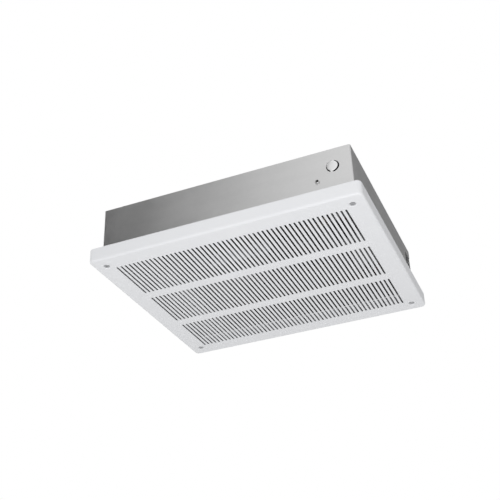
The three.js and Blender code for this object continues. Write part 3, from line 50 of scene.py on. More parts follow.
def placed(name, data):
    """A new object in the scene."""
    made = bpy.data.objects.new(name, data)
    bpy.context.scene.collection.objects.link(made)
    return made


forward = Vector((
    math.sin(LOOK_AZIMUTH) * math.cos(LOOK_ELEVATION),
    math.cos(LOOK_AZIMUTH) * math.cos(LOOK_ELEVATION),
    math.sin(LOOK_ELEVATION),
))
level = Vector((math.cos(LOOK_AZIMUTH), -math.sin(LOOK_AZIMUTH), 0))
upright = level.cross(forward)
right_hand = level * math.cos(LOOK_ROLL) + upright * math.sin(LOOK_ROLL)
overhead = upright * math.cos(LOOK_ROLL) - level * math.sin(LOOK_ROLL)
lens = bpy.data.cameras.new("camera")
lens.lens, lens.sensor_width = LENS, SENSOR
lens.clip_start, lens.clip_end = NEAREST, FARTHEST
camera = placed("camera", lens)
turned_to = Matrix((right_hand, overhead, -forward)).transposed().to_4x4()
camera.matrix_world = Matrix.Translation(CAMERA_AT) @ turned_to
bpy.context.scene.camera = camera
bpy.context.scene.view_settings.view_transform = "Standard"


# ------------------------------------------------------------------ studio
# A pale floor well below the heater, a white surround, two soft lamps, and three cards that only
# gloss sees, which grade the bare steel from its dark end to its bright one.
class Value:
    """A node's output that can be written in a sum."""

    def __init__(self, recipe, socket):
        self.recipe, self.socket = recipe, socket

    def _math(self, operation, first, second):
        return self.recipe.add("ShaderNodeMath", {"operation": operation}, {0: first, 1: second})

    def __add__(self, other):
        return self._math("ADD", self, other)

    def __sub__(self, other):
        return self._math("SUBTRACT", self, other)

    def __mul__(self, other):
        return self._math("MULTIPLY", self, other)

    def __radd__(self, other):
        return self._math("ADD", other, self)

    def __rsub__(self, other):
        return self._math("SUBTRACT", other, self)

    def __rmul__(self, other):
        return self._math("MULTIPLY", other, self)

    def __rtruediv__(self, other):
        return self._math("DIVIDE", other, self)


class Recipe:
    """A node tree that is being filled."""

    def __init__(self, tree):
        self.tree = tree

    def add(self, kind, settings=None, sockets=None, out=0):
        node = self.tree.nodes.new(kind)
        for name, value in (settings or {}).items():
            setattr(node, name, value)
        for name, value in (sockets or {}).items():
            self.feed(node.inputs[name], value)
        return Value(self, node.outputs[out])

    def feed(self, socket, value):
        if isinstance(value, Value):
            self.tree.links.new(value.socket, socket)
        else:
            socket.default_value = value

    def finish(self, kind, result):
        """The tree's own output node, fed with its result."""
        self.feed(self.tree.nodes.new(kind).inputs[0], result)

    def fade(self, value, start, end, first=0.0, last=1.0):
        """A soft step from the first level, where the value is the start, to the last at the end."""
        step = {0: value, 1: start, 2: end, 3: first, 4: last}
        return self.add("ShaderNodeMapRange", {"interpolation_type": "SMOOTHSTEP"}, step)


class Finish(Recipe):
    """A material made of one glossy shader and what varies over it."""

    def __init__(self, name, **constants):
        self.material = bpy.data.materials.new(name)
        self.material.use_nodes = True
        super().__init__(self.material.node_tree)
        self.shader = self.tree.nodes["Principled BSDF"]
        self.coordinates = self.add("ShaderNodeTexCoord", out="Object")
        self.set(**constants)

    def set(self, **levels):
        for socket, value in levels.items():
            self.feed(self.shader.inputs[socket.replace("_", " ")], value)
        return self.material

    def noise(self, scale, detail=2.0, stretch=(1, 1, 1)):
        place = self.add("ShaderNodeMapping", sockets={0: self.coordinates, "Scale": stretch})
        return self.add("ShaderNodeTexNoise", sockets={"Vector": place, "Scale": scale, "Detail": detail})

    def blend(self, amount, first, second):
        """Sockets 6 and 7 are the node's pair of colours, and output 2 is the colour."""
        return self.add("ShaderNodeMix", {"data_type": "RGBA"}, {0: amount, 6: first, 7: second}, out=2)

    def relief(self, height, depth):
        return self.add("ShaderNodeBump", sockets={"Strength": 1.0, "Distance": depth, "Height": height})


def tone(red, green=None, blue=None):
    """A colour as it is seen on a screen, from 0 to 255, in linear light."""
    levels = (v / 255 for v in (red, red if green is None else green, red if blue is None else blue))
    return tuple(v / 12.92 if v < 0.0404 else ((v + 0.055) / 1.055) ** 2.4 for v in levels) + (1.0,)


SURROUND = 0.85  # what lights the heater; the camera, gloss and glass see plain white
surround = bpy.data.worlds.new("surround")
surround.use_nodes = True
surround.node_tree.nodes.clear()
bpy.context.scene.world = surround
air = Recipe(surround.node_tree)
camera_ray, glossy_ray, passing_ray = (
    air.add("ShaderNodeLightPath", out=f"Is {kind} Ray") for kind in ("Camera", "Glossy", "Transmission")
)
seen = air.add("ShaderNodeClamp", sockets={0: camera_ray + glossy_ray + passing_ray})
strength = SURROUND + (1 - SURROUND) * seen
air.finish("ShaderNodeOutputWorld", air.add("ShaderNodeBackground", sockets={0: (1, 1, 1, 1), 1: strength}))


def panel(name, corners):
    """A flat four-cornered sheet of the studio."""
    mesh = bpy.data.meshes.new(name)
    mesh.from_pydata(corners, [], [(0, 1, 2, 3)])
    sheet = placed(name, mesh)
    return sheet


FLOOR_Z, FLOOR_HALF = -1.35, 9.0
pale = Finish("floor_paper", Roughness=0.9)
pale.set(Base_Color=pale.blend(pale.noise(3.0), tone(226), tone(232)))
ROUND_A_SQUARE = ((-1, -1), (1, -1), (1, 1), (-1, 1))
floor = panel("floor", [(sx * FLOOR_HALF, sy * FLOOR_HALF, FLOOR_Z) for sx, sy in ROUND_A_SQUARE])
floor.data.materials.append(pale.material)


def gloss_card(name, left, right, low, high, dark_x, levels):
    """An upright card that only reflections see, from its left (x, y) to its right one, graded from
    one level at dark_x to the other at its rightmost edge."""
    card = panel(name, [(*left, low), (*right, low), (*right, high), (*left, high)])
    card.visible_camera = card.visible_diffuse = card.visible_shadow = card.visible_transmission = False
    paper = bpy.data.materials.new(name)
    paper.use_nodes = True
    paper.node_tree.nodes.clear()
    recipe = Recipe(paper.node_tree)
    at = recipe.add("ShaderNodeTexCoord", out="Object")
    along = recipe.add("ShaderNodeSeparateXYZ", sockets={0: at})
    grade = recipe.fade(along, dark_x, max(left[0], right[0]), *levels)
    recipe.finish("ShaderNodeOutputMaterial", recipe.add("ShaderNodeEmission", sockets={1: grade}))
    card.data.materials.append(paper)


gloss_card("card_left", (-3.2, -1.2), (0.0, -1.2), -0.7, 2.2, -0.94, (0.0, 1.0))
gloss_card("card_far", (-2.2, 1.4), (1.9, 1.4), -0.2, 2.6, 0.0, (0.22, 0.22))
gloss_card("card_right", (1.9, 1.4), (1.9, -0.6), -0.2, 2.6, 0.0, (0.6, 0.6))


def soft_lamp(name, at, target, size, power):
    """A square lamp that faces its target."""
    data = bpy.data.lights.new(name, "AREA")
    data.size, data.energy = size, power
    facing = (Vector(target) - Vector(at)).to_track_quat("-Z", "Y").to_matrix().to_4x4()
    placed(name, data).matrix_world = Matrix.Translation(at) @ facing


soft_lamp("lamp_front", (0.3, -0.95, -1.2), (0.03, -0.08, -0.1), 0.7, 8.5)
soft_lamp("lamp_above", (-0.9, 0.9, 1.3), (0, 0, 0), 1.0, 2.5)


# ------------------------------------------------------------------ back box
# A folded pan of galvanised sheet, open downwards, with its lip turned in. Its folds are soft
# and its cut edges are just broken, so the solid's sharp edges are rounded here.
MM = 0.001
SHEET_EDGE = 0.22 * MM
KNOCKOUT_AT, KNOCKOUT_HOLE_R = (197.5 * MM, -34.5 * MM), 11.15 * MM
WALL_OUT, WALL_IN = -194.0 * MM, -192.8 * MM  # the near wall's two faces
SEAM = 0.003 * MM  # points nearer than this are one
UPRIGHT = (0, 1, 2)  # a turned or flat shape's axes: two across it, then the one along it
ALONG_X, ALONG_Y = (1, 2, 0), (0, 2, 1)


def mm(points):
    """Points that are written in millimetres."""
    return [tuple(c * MM for c in p) for p in points]


def within(spot, points, edges):
    """Whether a spot is inside an odd number of the loops."""
    inside = False
    for start, end in edges:
        (x0, y0), (x1, y1) = points[start], points[end]
        if (y0 > spot[1]) != (y1 > spot[1]) and spot[0] < x0 + (spot[1] - y0) * (x1 - x0) / (y1 - y0):
            inside = not inside
    return inside


def lifted(flat_point, level, axes=UPRIGHT):
    """A point of the first two axes, at a level on the third."""
    spot = [level, level, level]
    spot[axes[0]], spot[axes[1]] = flat_point[0], flat_point[1]
    return tuple(spot)


def circle(at, radius, sides):
    turns = (2 * math.pi * i / sides for i in range(sides))
    return [(at[0] + radius * math.cos(turn), at[1] + radius * math.sin(turn)) for turn in turns]


def rings(profile, sides, at=(0, 0), axes=UPRIGHT):
    """A ring of points for each [radius, level] of the profile."""
    return [[lifted(p, level, axes) for p in circle(at, radius, sides)] for radius, level in profile]


def worked(mesh, work=None, *sources):
    """The mesh, filled from its sources or itself, after the work on its faces."""
    shape = bmesh.new()
    for source in sources or (mesh,):
        shape.from_mesh(source)
    if work:
        work(shape)
    shape.to_mesh(mesh)
    shape.free()
    return mesh


def faced_outwards(shape):
    bmesh.ops.remove_doubles(shape, verts=shape.verts, dist=SEAM / 3)
    bmesh.ops.recalc_face_normals(shape, faces=shape.faces)


def merged(shape):
    bmesh.ops.remove_doubles(shape, verts=shape.verts, dist=SEAM)


def baked(piece, *others):
    """The plain mesh that a piece's modifiers give, once it and its helpers are gone."""
    made = bpy.data.meshes.new_from_object(piece.evaluated_get(bpy.context.evaluated_depsgraph_get()))
    for part in (piece, *others):
        bpy.data.objects.remove(part)
    return made


class Shell:
    """Faces gathered from loops of points, which join where their points meet."""

    MESHING = 1000  # flat faces are divided in millimetres

    def __init__(self):
        self.points, self.faces, self.known = [], [], {}

    def point(self, p):
        key = tuple(round(c * 1e7) for c in p)
        if key not in self.known:
            self.known[key] = len(self.points)
            self.points.append(tuple(p))
        return self.known[key]

    def face(self, *corners):
        face = list(dict.fromkeys(self.point(p) for p in corners))
        if len(face) > 2:
            self.faces.append(face)

    def band(self, loops):
        """A skin through loops of equal length; a loop drawn to one point closes an end."""
        for low, high in zip(loops, loops[1:]):
            for i in range(len(low)):
                j = (i + 1) % len(low)
                self.face(low[i], low[j], high[j], high[i])
        return self

    def flat(self, loops, level, up=True, axes=UPRIGHT):
        """A level face inside the first loop, with the others as holes in it."""
        points, edges = [], []
        for loop in loops:
            start = len(points)
            points += [Vector((p[0] * self.MESHING, p[1] * self.MESHING)) for p in loop]
            edges += [(start + i, start + (i + 1) % len(loop)) for i in range(len(loop))]
        found, _, triangles, *_ = geometry.delaunay_2d_cdt(points, edges, [], 1, 1e-6)
        for triangle in triangles:
            a, b, c = (found[i] for i in triangle)
            if not within((a + b + c) / 3, points, edges):
                continue
            upward = (b - a).cross(c - a) > 0
            order = (a, b, c) if upward == up else (a, c, b)
            self.face(*(lifted(p / self.MESHING, level, axes) for p in order))

    def prism(self, loops, low, high, axes=UPRIGHT):
        """The first loop thickened, with the others as holes through it."""
        self.flat(loops, low, False, axes)
        self.flat(loops, high, True, axes)
        for loop in loops:
            self.band([[lifted(p, level, axes) for p in loop] for level in (low, high)])
        return self

    def turned(self, profile, at=(0, 0), sides=48, axes=UPRIGHT):
        """A profile of [radius, level] steps turned about the third axis."""
        return self.band(rings(profile, sides, at, axes))

    def tube(self, path, radius, sides=12, closed=False):
        """A round rod through the points, with flat ends."""
        path = [Vector(p) for p in path]
        count, side, loops = len(path), None, []
        for k, at in enumerate(path):
            before = path[k - 1] if k or closed else at
            after = path[(k + 1) % count] if k + 1 < count or closed else at
            way = (after - before).normalized()
            side = way.orthogonal() if side is None else side - way * side.dot(way)
            side.normalize()
            other = way.cross(side)
            turns = (2 * math.pi * i / sides for i in range(sides))
            loops.append([tuple(at + (side * math.cos(a) + other * math.sin(a)) * radius) for a in turns])
        ends = ([loops[-1]], []) if closed else ([[tuple(path[0])] * sides], [[tuple(path[-1])] * sides])
        return self.band(ends[0] + loops + ends[1])

    def mesh(self, name, recalculated=True):
        made = bpy.data.meshes.new(name)
        made.from_pydata(self.points, [], self.faces)
        made.validate()
        return worked(made, faced_outwards) if recalculated else made


def carved(mesh, tool):
    """The mesh with the tool's shape cut out of it."""
    kept, waste = (placed(m.name + "_carved", m) for m in (mesh, tool.mesh("tool")))
    cut = kept.modifiers.new("cut", "BOOLEAN")
    cut.operation, cut.object, cut.solver = "DIFFERENCE", waste, "EXACT"
    return baked(kept, waste)


def copied(node, *tools):
    """A copy of a node's mesh with its facets joined, and with the tools' shapes cut out of it."""
    mesh = worked(bpy.data.meshes.new(node), merged, nodes[node].data)
    for tool in tools:
        mesh = carved(mesh, tool)
    return mesh


def softened(mesh, radius, steps=2, spared=lambda p: False):
    """The mesh with its sharp edges rounded, but for those in the spared places."""
    level_angle, sharp_angle = math.radians(0.6), math.radians(25)

    def rounded(shape):
        merged(shape)
        bmesh.ops.dissolve_limit(shape, angle_limit=level_angle, verts=shape.verts, edges=shape.edges)
        folds = [e for e in shape.edges if len(e.link_faces) == 2 and e.calc_face_angle(0) > sharp_angle]
        folds = [e for e in folds if not any(spared(v.co) for v in e.verts)]
        bmesh.ops.bevel(
            shape, geom=folds, offset=radius, offset_type="OFFSET", segments=steps, profile=0.5,
            affect="EDGES", clamp_overlap=False,
        )
        many_sided = [f for f in shape.faces if len(f.verts) > 4]
        bmesh.ops.triangulate(shape, faces=many_sided, ngon_method="EAR_CLIP")

    return worked(bpy.data.meshes.new(mesh.name + "_softened"), rounded, mesh)


def joined(name, *meshes):
    """Several meshes as one."""
    return worked(bpy.data.meshes.new(name), None, *meshes)


def link(name, mesh, finish, slot, *replaced, body="housing", corner=None):
    """Puts a finished mesh on its body, with its finish, in place of the nodes that it stands for."""
    piece = placed(name, mesh)
    mesh.materials.clear()
    mesh.materials.append(finish)
    mesh.shade_smooth()
    if corner is not None:
        mesh.set_sharp_from_angle(angle=math.radians(corner))
    even = piece.modifiers.new("even", "WEIGHTED_NORMAL")
    even.weight, even.keep_sharp = 100, True
    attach(piece, body)
    if replaced:
        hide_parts(*replaced)


def galvanised(name, base, spangle, along=(1, 1, 1), gloss=0.3):
    """Hot-dipped sheet: fine spangle, faint rolling streaks and a dull patchy gloss."""
    steel = Finish(name, Metallic=1.0)
    grains = {"Vector": steel.coordinates, "Scale": 210.0}
    crystals = steel.add("ShaderNodeTexVoronoi", {"feature": "SMOOTH_F1"}, grains, out="Color")
    shade = steel.add("ShaderNodeSeparateColor", sockets={0: crystals})
    cloud, streak = steel.noise(14.0, 3.0), steel.noise(60.0, 2.0, along)
    low, high = (tuple(min(1.0, c * k) for c in base[:3]) + (1.0,) for k in (0.88, 1.1))
    return steel.set(
        Base_Color=steel.blend(shade * spangle + cloud * (0.62 - spangle) + streak * 0.38, low, high),
        Roughness=gloss + 0.04 * shade + 0.1 * cloud,
        Normal=steel.relief(shade + cloud * 2.0, 0.004 * MM),
    )


def in_top_hole(p):
    """The top's keyholes, knockout and dimple lie too close to each other to be rounded."""
    return p.z > -1.5 * MM and abs(p.x) < 215 * MM and abs(p.y) < 180 * MM


def plug(radius, low, high):
    """A plain cylinder's profile, which a bore is cut with."""
    return [(0, low), (radius, low), (radius, high), (0, high)]


through_wall = plug(KNOCKOUT_HOLE_R, WALL_OUT - 3 * MM, WALL_IN + 1.8 * MM)
knockout_bore = Shell().turned(through_wall, KNOCKOUT_AT, 64, ALONG_Y)
box_steel = galvanised("galvanised_box", tone(217), 0.12, (0.12, 0.12, 1))
box_mesh = softened(copied("back_box", knockout_bore), SHEET_EDGE, spared=in_top_hole)
link("back_box_shell", box_mesh, box_steel, "galvanised", "back_box", corner=20)


# ------------------------------------------------------------------ near knockout
# The blank that an electrician knocks out for a conduit: struck through in one blow, so that it
# stands proud, a little off its hole, on two webs. Its zinc is painted paler than the wall's, a painted
# highlight.
DISC_AT, DISC_R = (196.6 * MM, -33.4 * MM), 9.7 * MM
DISC_BACK = WALL_IN - 0.2 * MM
DISC_FACE = [
    (0, -0.78), (3.0, -0.74), (5.0, -0.66), (7.0, -0.5), (8.3, -0.32), (9.1, -0.12), (9.5, 0.1), (9.7, 0.45),
]
WEB_HALF, WEB_LAP_IN, WEB_LAP_OUT = 1.9 * MM, 0.6 * MM, 0.3 * MM
WEB_ANGLES = (math.radians(-100), math.radians(80))
disc = [(r * MM, WALL_OUT + y * MM) for r, y in DISC_FACE] + [(DISC_R, DISC_BACK), (0, DISC_BACK)]
knockout = Shell().turned(disc, DISC_AT, 64, ALONG_Y)
for angle in WEB_ANGLES:
    out = Vector((math.cos(angle), math.sin(angle)))
    beside = Vector((-out.y, out.x)) * WEB_HALF
    on_disc = Vector(DISC_AT) + out * (DISC_R - WEB_LAP_IN)
    on_wall = Vector(KNOCKOUT_AT) + out * (KNOCKOUT_HOLE_R + WEB_LAP_OUT)
    ends = []
    for at, top in ((on_disc, WALL_OUT - 0.25 * MM), (on_wall, WALL_OUT + 0.02 * MM)):
        sides = ((at - beside, top), (at + beside, top), (at + beside, DISC_BACK), (at - beside, DISC_BACK))
        ends.append([(p.x, y, p.y) for p, y in sides])
    knockout.band(ends)
    for end in ends:
        knockout.face(*end)


def plated(name, base, dark, scale=500.0, gloss=0.3):
    """Turned or pressed and plated metal: a clouded plating with fine specks."""
    metal = Finish(name, Metallic=1.0)
    cloud, speck = metal.noise(scale, 3.0), metal.noise(scale * 6, 1.0)
    metal.set(Base_Color=metal.blend(cloud * 0.7 + speck * 0.3, dark, base))
    return metal.set(Roughness=gloss + 0.18 * cloud, Normal=metal.relief(speck, 0.004 * MM))


# painted highlight: the disc's zinc is paler than the box's
burnished_zinc = plated("burnished_zinc", tone(240), tone(222), 120.0, 0.24)
link("near_knockout", knockout.mesh("near_knockout"), burnished_zinc, "galvanised", corner=60)


# ------------------------------------------------------------------ grille
# One pressed steel tray in baked white paint: 3 rows of 53 slots with rolled edges, a soft bend
# all round, a dimple in each corner for its screw, and its rim turned in to meet the box.
GRILLE_HALF, GRILLE_SHEET = (245 * MM, 214.5 * MM), 1.2 * MM
GRILLE_FACE_Z, GRILLE_RIM_Z = -114 * MM, -87 * MM
GRILLE_BEND, GRILLE_CORNER, TIGHTEST_CORNER = 4.5 * MM, 9 * MM, 0.4 * MM
RETURN_HALF, RETURN_CORNER, RETURN_BEND = (230.3 * MM, 194.3 * MM), 3 * MM, 2.2 * MM
SLOT_COLUMNS, SLOT_ROWS = 53, 3
SLOT_PITCH, ROW_PITCH = 8 * MM, 126.4 * MM
SLOT_W, SLOT_L, SLOT_ROLL = 3.2 * MM, 106 * MM, 0.4 * MM
DIMPLE_AT, DIMPLE_DEPTH = (222.6 * MM, 188.6 * MM), 2.6 * MM
DIMPLE_R, DIMPLE_SEAT_R, DIMPLE_HOLE_R, DIMPLE_BRIM = 6.5 * MM, 3.4 * MM, 2.5 * MM, 1.1 * MM
SLOT_END_STEPS, DIMPLE_SIDES, CORNER_STEPS, BEND_STEPS = 8, 40, 10, 8


def rounded_loop(half, radius, z, steps):
    """A rectangle's outline with round corners, anticlockwise from above."""
    loop = []
    for quarter, (sx, sy) in enumerate(((1, 1), (-1, 1), (-1, -1), (1, -1))):
        for i in range(steps + 1):
            angle = (quarter + i / steps) * math.pi / 2
            x = sx * (half[0] - radius) + radius * math.cos(angle)
            loop.append((x, sy * (half[1] - radius) + radius * math.sin(angle), z))
    return loop


def slot_loop(grow, z):
    """A slot's outline, let out by a little."""
    radius, straight = SLOT_W / 2 + grow, (SLOT_L - SLOT_W) / 2
    loop = []
    for y, start in ((straight, 0), (-straight, math.pi)):
        for i in range(SLOT_END_STEPS + 1):
            angle = start + math.pi * i / SLOT_END_STEPS
            loop.append((radius * math.cos(angle), y + radius * math.sin(angle), z))
    return loop


# One slot with the land round it, which the node tree repeats.
inner_face_z = GRILLE_FACE_Z + GRILLE_SHEET
half_cell = (SLOT_PITCH / 2, ROW_PITCH / 2)
cell_edge = [(sx * half_cell[0], sy * half_cell[1]) for sx, sy in ROUND_A_SQUARE]
quarter_turn = (0, math.pi / 6, math.pi / 3, math.pi / 2)
roll = [(SLOT_ROLL * (1 - math.sin(t)), SLOT_ROLL * (1 - math.cos(t))) for t in quarter_turn]
slot_wall = [slot_loop(out, GRILLE_FACE_Z + rise) for out, rise in roll]
slot_wall += [slot_loop(out, inner_face_z - rise) for out, rise in reversed(roll)]
cell = Shell()
cell.flat([cell_edge, slot_wall[0]], GRILLE_FACE_Z, up=False)
cell.flat([cell_edge, slot_wall[-1]], inner_face_z)
cell.band([loop[::-1] for loop in slot_wall])
cell_piece = placed("slot_cell", cell.mesh("slot_cell", recalculated=False))

# The plain border round the slots, with the bend, the rim and the dimples.
columns = [-SLOT_COLUMNS * half_cell[0] + k * SLOT_PITCH for k in range(SLOT_COLUMNS + 1)]
rows = [-SLOT_ROWS * half_cell[1] + k * ROW_PITCH for k in range(SLOT_ROWS + 1)]
field = [(x, rows[0]) for x in columns] + [(columns[-1], y) for y in rows[1:]]
field += [(x, rows[-1]) for x in columns[-2::-1]] + [(columns[0], y) for y in rows[-2:0:-1]]
bend_angles = [k / BEND_STEPS * math.pi / 2 for k in range(BEND_STEPS + 1)]


def skin(gap):
    """One face of the sheet, as [inset, level] steps round the bend and over the rim."""
    out, back = GRILLE_BEND - gap, RETURN_BEND - gap
    bend_z, return_z = GRILLE_FACE_Z + GRILLE_BEND, GRILLE_RIM_Z - RETURN_BEND
    steps = [(gap + out * (1 - math.sin(a)), bend_z - out * math.cos(a)) for a in bend_angles]
    return steps + [(gap + back * (1 - math.cos(a)), return_z + back * math.sin(a)) for a in bend_angles]


def inset_loop(inset, z):
    half = (GRILLE_HALF[0] - inset, GRILLE_HALF[1] - inset)
    return rounded_loop(half, max(GRILLE_CORNER - inset, TIGHTEST_CORNER), z, CORNER_STEPS)


def return_loop(back, z):
    return rounded_loop((RETURN_HALF[0] + back, RETURN_HALF[1] + back), RETURN_CORNER, z, CORNER_STEPS)


rim = [inset_loop(*step) for step in skin(0)]
return_edge = ((0.2 * MM, 0), (0, 0.5), (0.2 * MM, 1))
rim += [return_loop(back, GRILLE_RIM_Z - GRILLE_SHEET * share) for back, share in return_edge]
rim += [inset_loop(*step) for step in skin(GRILLE_SHEET)[::-1]]
border = Shell().band(rim)
dimple_front = [
    (DIMPLE_R + DIMPLE_BRIM, 0),
    (DIMPLE_R + 0.45 * DIMPLE_BRIM, 0.12 * DIMPLE_BRIM),
    (DIMPLE_R - 0.1 * DIMPLE_BRIM, 0.42 * DIMPLE_BRIM),
    (DIMPLE_SEAT_R + 0.5 * MM, DIMPLE_DEPTH - 0.25 * MM),
    (DIMPLE_SEAT_R, DIMPLE_DEPTH),
    (DIMPLE_HOLE_R, DIMPLE_DEPTH),
]
dimple_back = [
    (DIMPLE_HOLE_R, DIMPLE_DEPTH + GRILLE_SHEET),
    (DIMPLE_SEAT_R + 0.8 * MM, DIMPLE_DEPTH + GRILLE_SHEET),
    (DIMPLE_R + 0.4 * DIMPLE_BRIM, GRILLE_SHEET + 0.42 * DIMPLE_BRIM),
    (DIMPLE_R + 1.3 * DIMPLE_BRIM, GRILLE_SHEET),
]
dimples = [(sx * DIMPLE_AT[0], sy * DIMPLE_AT[1]) for sx in (-1, 1) for sy in (-1, 1)]
for at in dimples:
    dish = [(r, GRILLE_FACE_Z + rise) for r, rise in dimple_front + dimple_back]
    border.band([loop[::-1] for loop in rings(dish, DIMPLE_SIDES, at)])
for edge, (brim_r, _), z, up in (
    (rim[0], dimple_front[0], GRILLE_FACE_Z, False), (rim[-1], dimple_back[-1], inner_face_z, True),
):
    border.flat([edge, field] + [circle(at, brim_r, DIMPLE_SIDES) for at in dimples], z, up)
border_piece = placed("grille_border", border.mesh("grille_border", recalculated=False))


def node_tree(name, **inputs):
    """An empty geometry tree, with a named input of its kind for each size."""
    tree = bpy.data.node_groups.new(name, "GeometryNodeTree")
    tree.interface.new_socket("Geometry", in_out="INPUT", socket_type="NodeSocketGeometry")
    for label, kind in inputs.items():
        tree.interface.new_socket(label.replace("_", " "), in_out="INPUT", socket_type="NodeSocket" + kind)
    tree.interface.new_socket("Geometry", in_out="OUTPUT", socket_type="NodeSocketGeometry")
    recipe = Recipe(tree)
    given = tree.nodes.new("NodeGroupInput")
    return recipe, {socket.name: Value(recipe, socket) for socket in given.outputs if socket.name}


def copies(recipe, points, piece, **turned):
    return recipe.add("GeometryNodeInstanceOnPoints", sockets={"Points": points, "Instance": piece, **turned})


def with_piece(recipe, made, piece):
    """What is made, joined by a whole piece that the tree is given."""
    info = recipe.add("GeometryNodeObjectInfo", sockets={"Object": piece}, out="Geometry")
    both = recipe.add("GeometryNodeJoinGeometry", sockets={0: made})
    recipe.feed(both.socket.node.inputs[0], info)
    return both


def tree_end(recipe, made, finish):
    """Every tree ends by making its copies real and giving them their finish."""
    real = recipe.add("GeometryNodeRealizeInstances", sockets={0: made})
    one = recipe.add("GeometryNodeMergeByDistance", sockets={0: real, "Distance": 0.004 * MM})
    dressed = recipe.add("GeometryNodeSetMaterial", sockets={0: one, "Material": finish})
    recipe.finish("NodeGroupOutput", dressed)


def grown(mesh, recipe, **values):
    """The mesh after the tree, with the tree's inputs set by their identifiers."""
    piece = placed(recipe.tree.name, mesh)
    modifier = piece.modifiers.new("grow", "NODES")
    modifier.node_group = recipe.tree
    for item in recipe.tree.interface.items_tree:
        if item.in_out == "INPUT" and item.name.replace(" ", "_") in values:
            modifier[item.identifier] = values[item.name.replace(" ", "_")]
    return baked(piece)


grid, given = node_tree(
    "slot_field", Slot_pitch="Float", Row_pitch="Float", Columns="Int", Rows="Int",
    Border="Object", Paint="Material",
)
field_points = grid.add("GeometryNodeMeshGrid", sockets={
    "Size X": given["Slot pitch"] * (given["Columns"] - 1), "Vertices X": given["Columns"],
    "Size Y": given["Row pitch"] * (given["Rows"] - 1), "Vertices Y": given["Rows"],
})
slots = copies(grid, field_points, given["Geometry"])
tree_end(grid, with_piece(grid, slots, given["Border"]), given["Paint"])


def white_paint():
    """Baked white enamel: a fine orange peel, a soft gloss and a faint warm-cool drift."""
    paint = Finish("white_enamel", Coat_Weight=0.25, Coat_Roughness=0.2)
    drift, peel = paint.noise(6.0, 2.0), paint.noise(900.0, 1.0)
    paint.set(Base_Color=paint.blend(drift, tone(226, 227, 230), tone(231, 232, 234)))
    return paint.set(Roughness=0.36 + 0.1 * paint.noise(40.0, 3.0), Normal=paint.relief(peel, 0.006 * MM))


enamel = white_paint()
grille_mesh = grown(
    cell_piece.data, grid, Slot_pitch=SLOT_PITCH, Row_pitch=ROW_PITCH, Columns=SLOT_COLUMNS, Rows=SLOT_ROWS,
    Border=border_piece, Paint=enamel,
)
for part in (cell_piece, border_piece):
    bpy.data.objects.remove(part)
link("slotted_grille", grille_mesh, enamel, "white_paint", "grille")


# ------------------------------------------------------------------ grille screws
# Four steel screws with oval heads and cross recesses, their zinc plating gone dull. Each is sunk
# in its dimple and runs up into the box's lip.
SHANK_R, THREAD_PITCH, THREAD_DEPTH = 2.1 * MM, 1.3 * MM, 0.35 * MM
STEPS_PER_TURN = 5  # of the thread's helix, along the screw
OVAL_R, GRILLE_SCREW_SINK = 4.75 * MM, 1.1 * MM
FOUR_CORNERS = ((-1, -1), (1, -1), (-1, 1), (1, 1))


def thread_loops(start, end, radius, sides):
    """A shank's loops from start up to its point, its thread cut as one helix."""
    steps = max(4, round((end - start) / THREAD_PITCH * STEPS_PER_TURN))
    loops = []
    for k in range(steps + 1):
        z = start + (end - start) * k / steps
        taper = min(1.0, (end - z) / radius)
        loop = []
        for i in range(sides):
            phase = (z / THREAD_PITCH - i / sides) % 1
            r = (radius - THREAD_DEPTH * abs(2 * phase - 1)) * taper
            angle = 2 * math.pi * i / sides
            loop.append((r * math.cos(angle), r * math.sin(angle), z))
        loops.append(loop)
    return loops


def cross_head_screw(head, start, end, arm, depth, sides=32):
    """A screw with its head as [radius, z] steps from its face upwards, and a cross recess in the face."""
    face_r, face_z = head[0]
    screw = Shell().band(rings(head, sides) + thread_loops(start, end, SHANK_R, sides))
    half, cross = arm * 0.24, []
    one_arm = [(arm, -half), (arm, half), (half, half)]
    for _ in range(4):
        cross += one_arm
        one_arm = [(-y, x) for x, y in one_arm]
    deep = [(x * 0.55, y * 0.55) for x, y in cross]
    screw.flat([circle((0, 0), face_r, sides), cross], face_z, up=False)
    screw.band([[lifted(p, face_z) for p in cross], [lifted(p, face_z + depth) for p in deep]])
    screw.flat([deep], face_z + depth, up=False)
    return screw


fixing, given = node_tree("fixings", Places="Object", Turn="Rotation", Metal="Material")
spots = fixing.add("GeometryNodeObjectInfo", sockets={"Object": given["Places"]}, out="Geometry")
tree_end(fixing, copies(fixing, spots, given["Geometry"], Rotation=given["Turn"]), given["Metal"])


def fasteners(name, screw, places, finish, replaced, slot="zinc_fastener", turn=(0, 0, 0)):
    """Copies of one screw on their places, each turned the same way."""
    dots = bpy.data.meshes.new(name + "_places")
    dots.from_pydata(places, [], [])
    where = placed(name + "_places", dots)
    mesh = grown(screw.mesh(name), fixing, Places=where, Turn=turn, Metal=finish)
    bpy.data.objects.remove(where)
    link(name, mesh, finish, slot, *replaced, corner=50)


def numbered(stem, count):
    return [f"{stem}_{k + 1}" for k in range(count)]


dull_zinc = plated("dull_zinc", tone(208, 209, 211), tone(166, 167, 170))
oval_head = [(OVAL_R * 0.62, -0.62 * MM), (OVAL_R * 0.85, -0.36 * MM), (OVAL_R, 0.0)]
oval_head += mm([(2.75, 1.2), (2.1, 1.35)])
fasteners(
    "grille_screws", cross_head_screw(oval_head, 1.4 * MM, 32.0 * MM, 1.9 * MM, 1.5 * MM, 24),
    [(sx * DIMPLE_AT[0], sy * DIMPLE_AT[1], GRILLE_FACE_Z + GRILLE_SCREW_SINK) for sx, sy in FOUR_CORNERS],
    dull_zinc, numbered("grille_screw", 4), "grille_fastener",
)
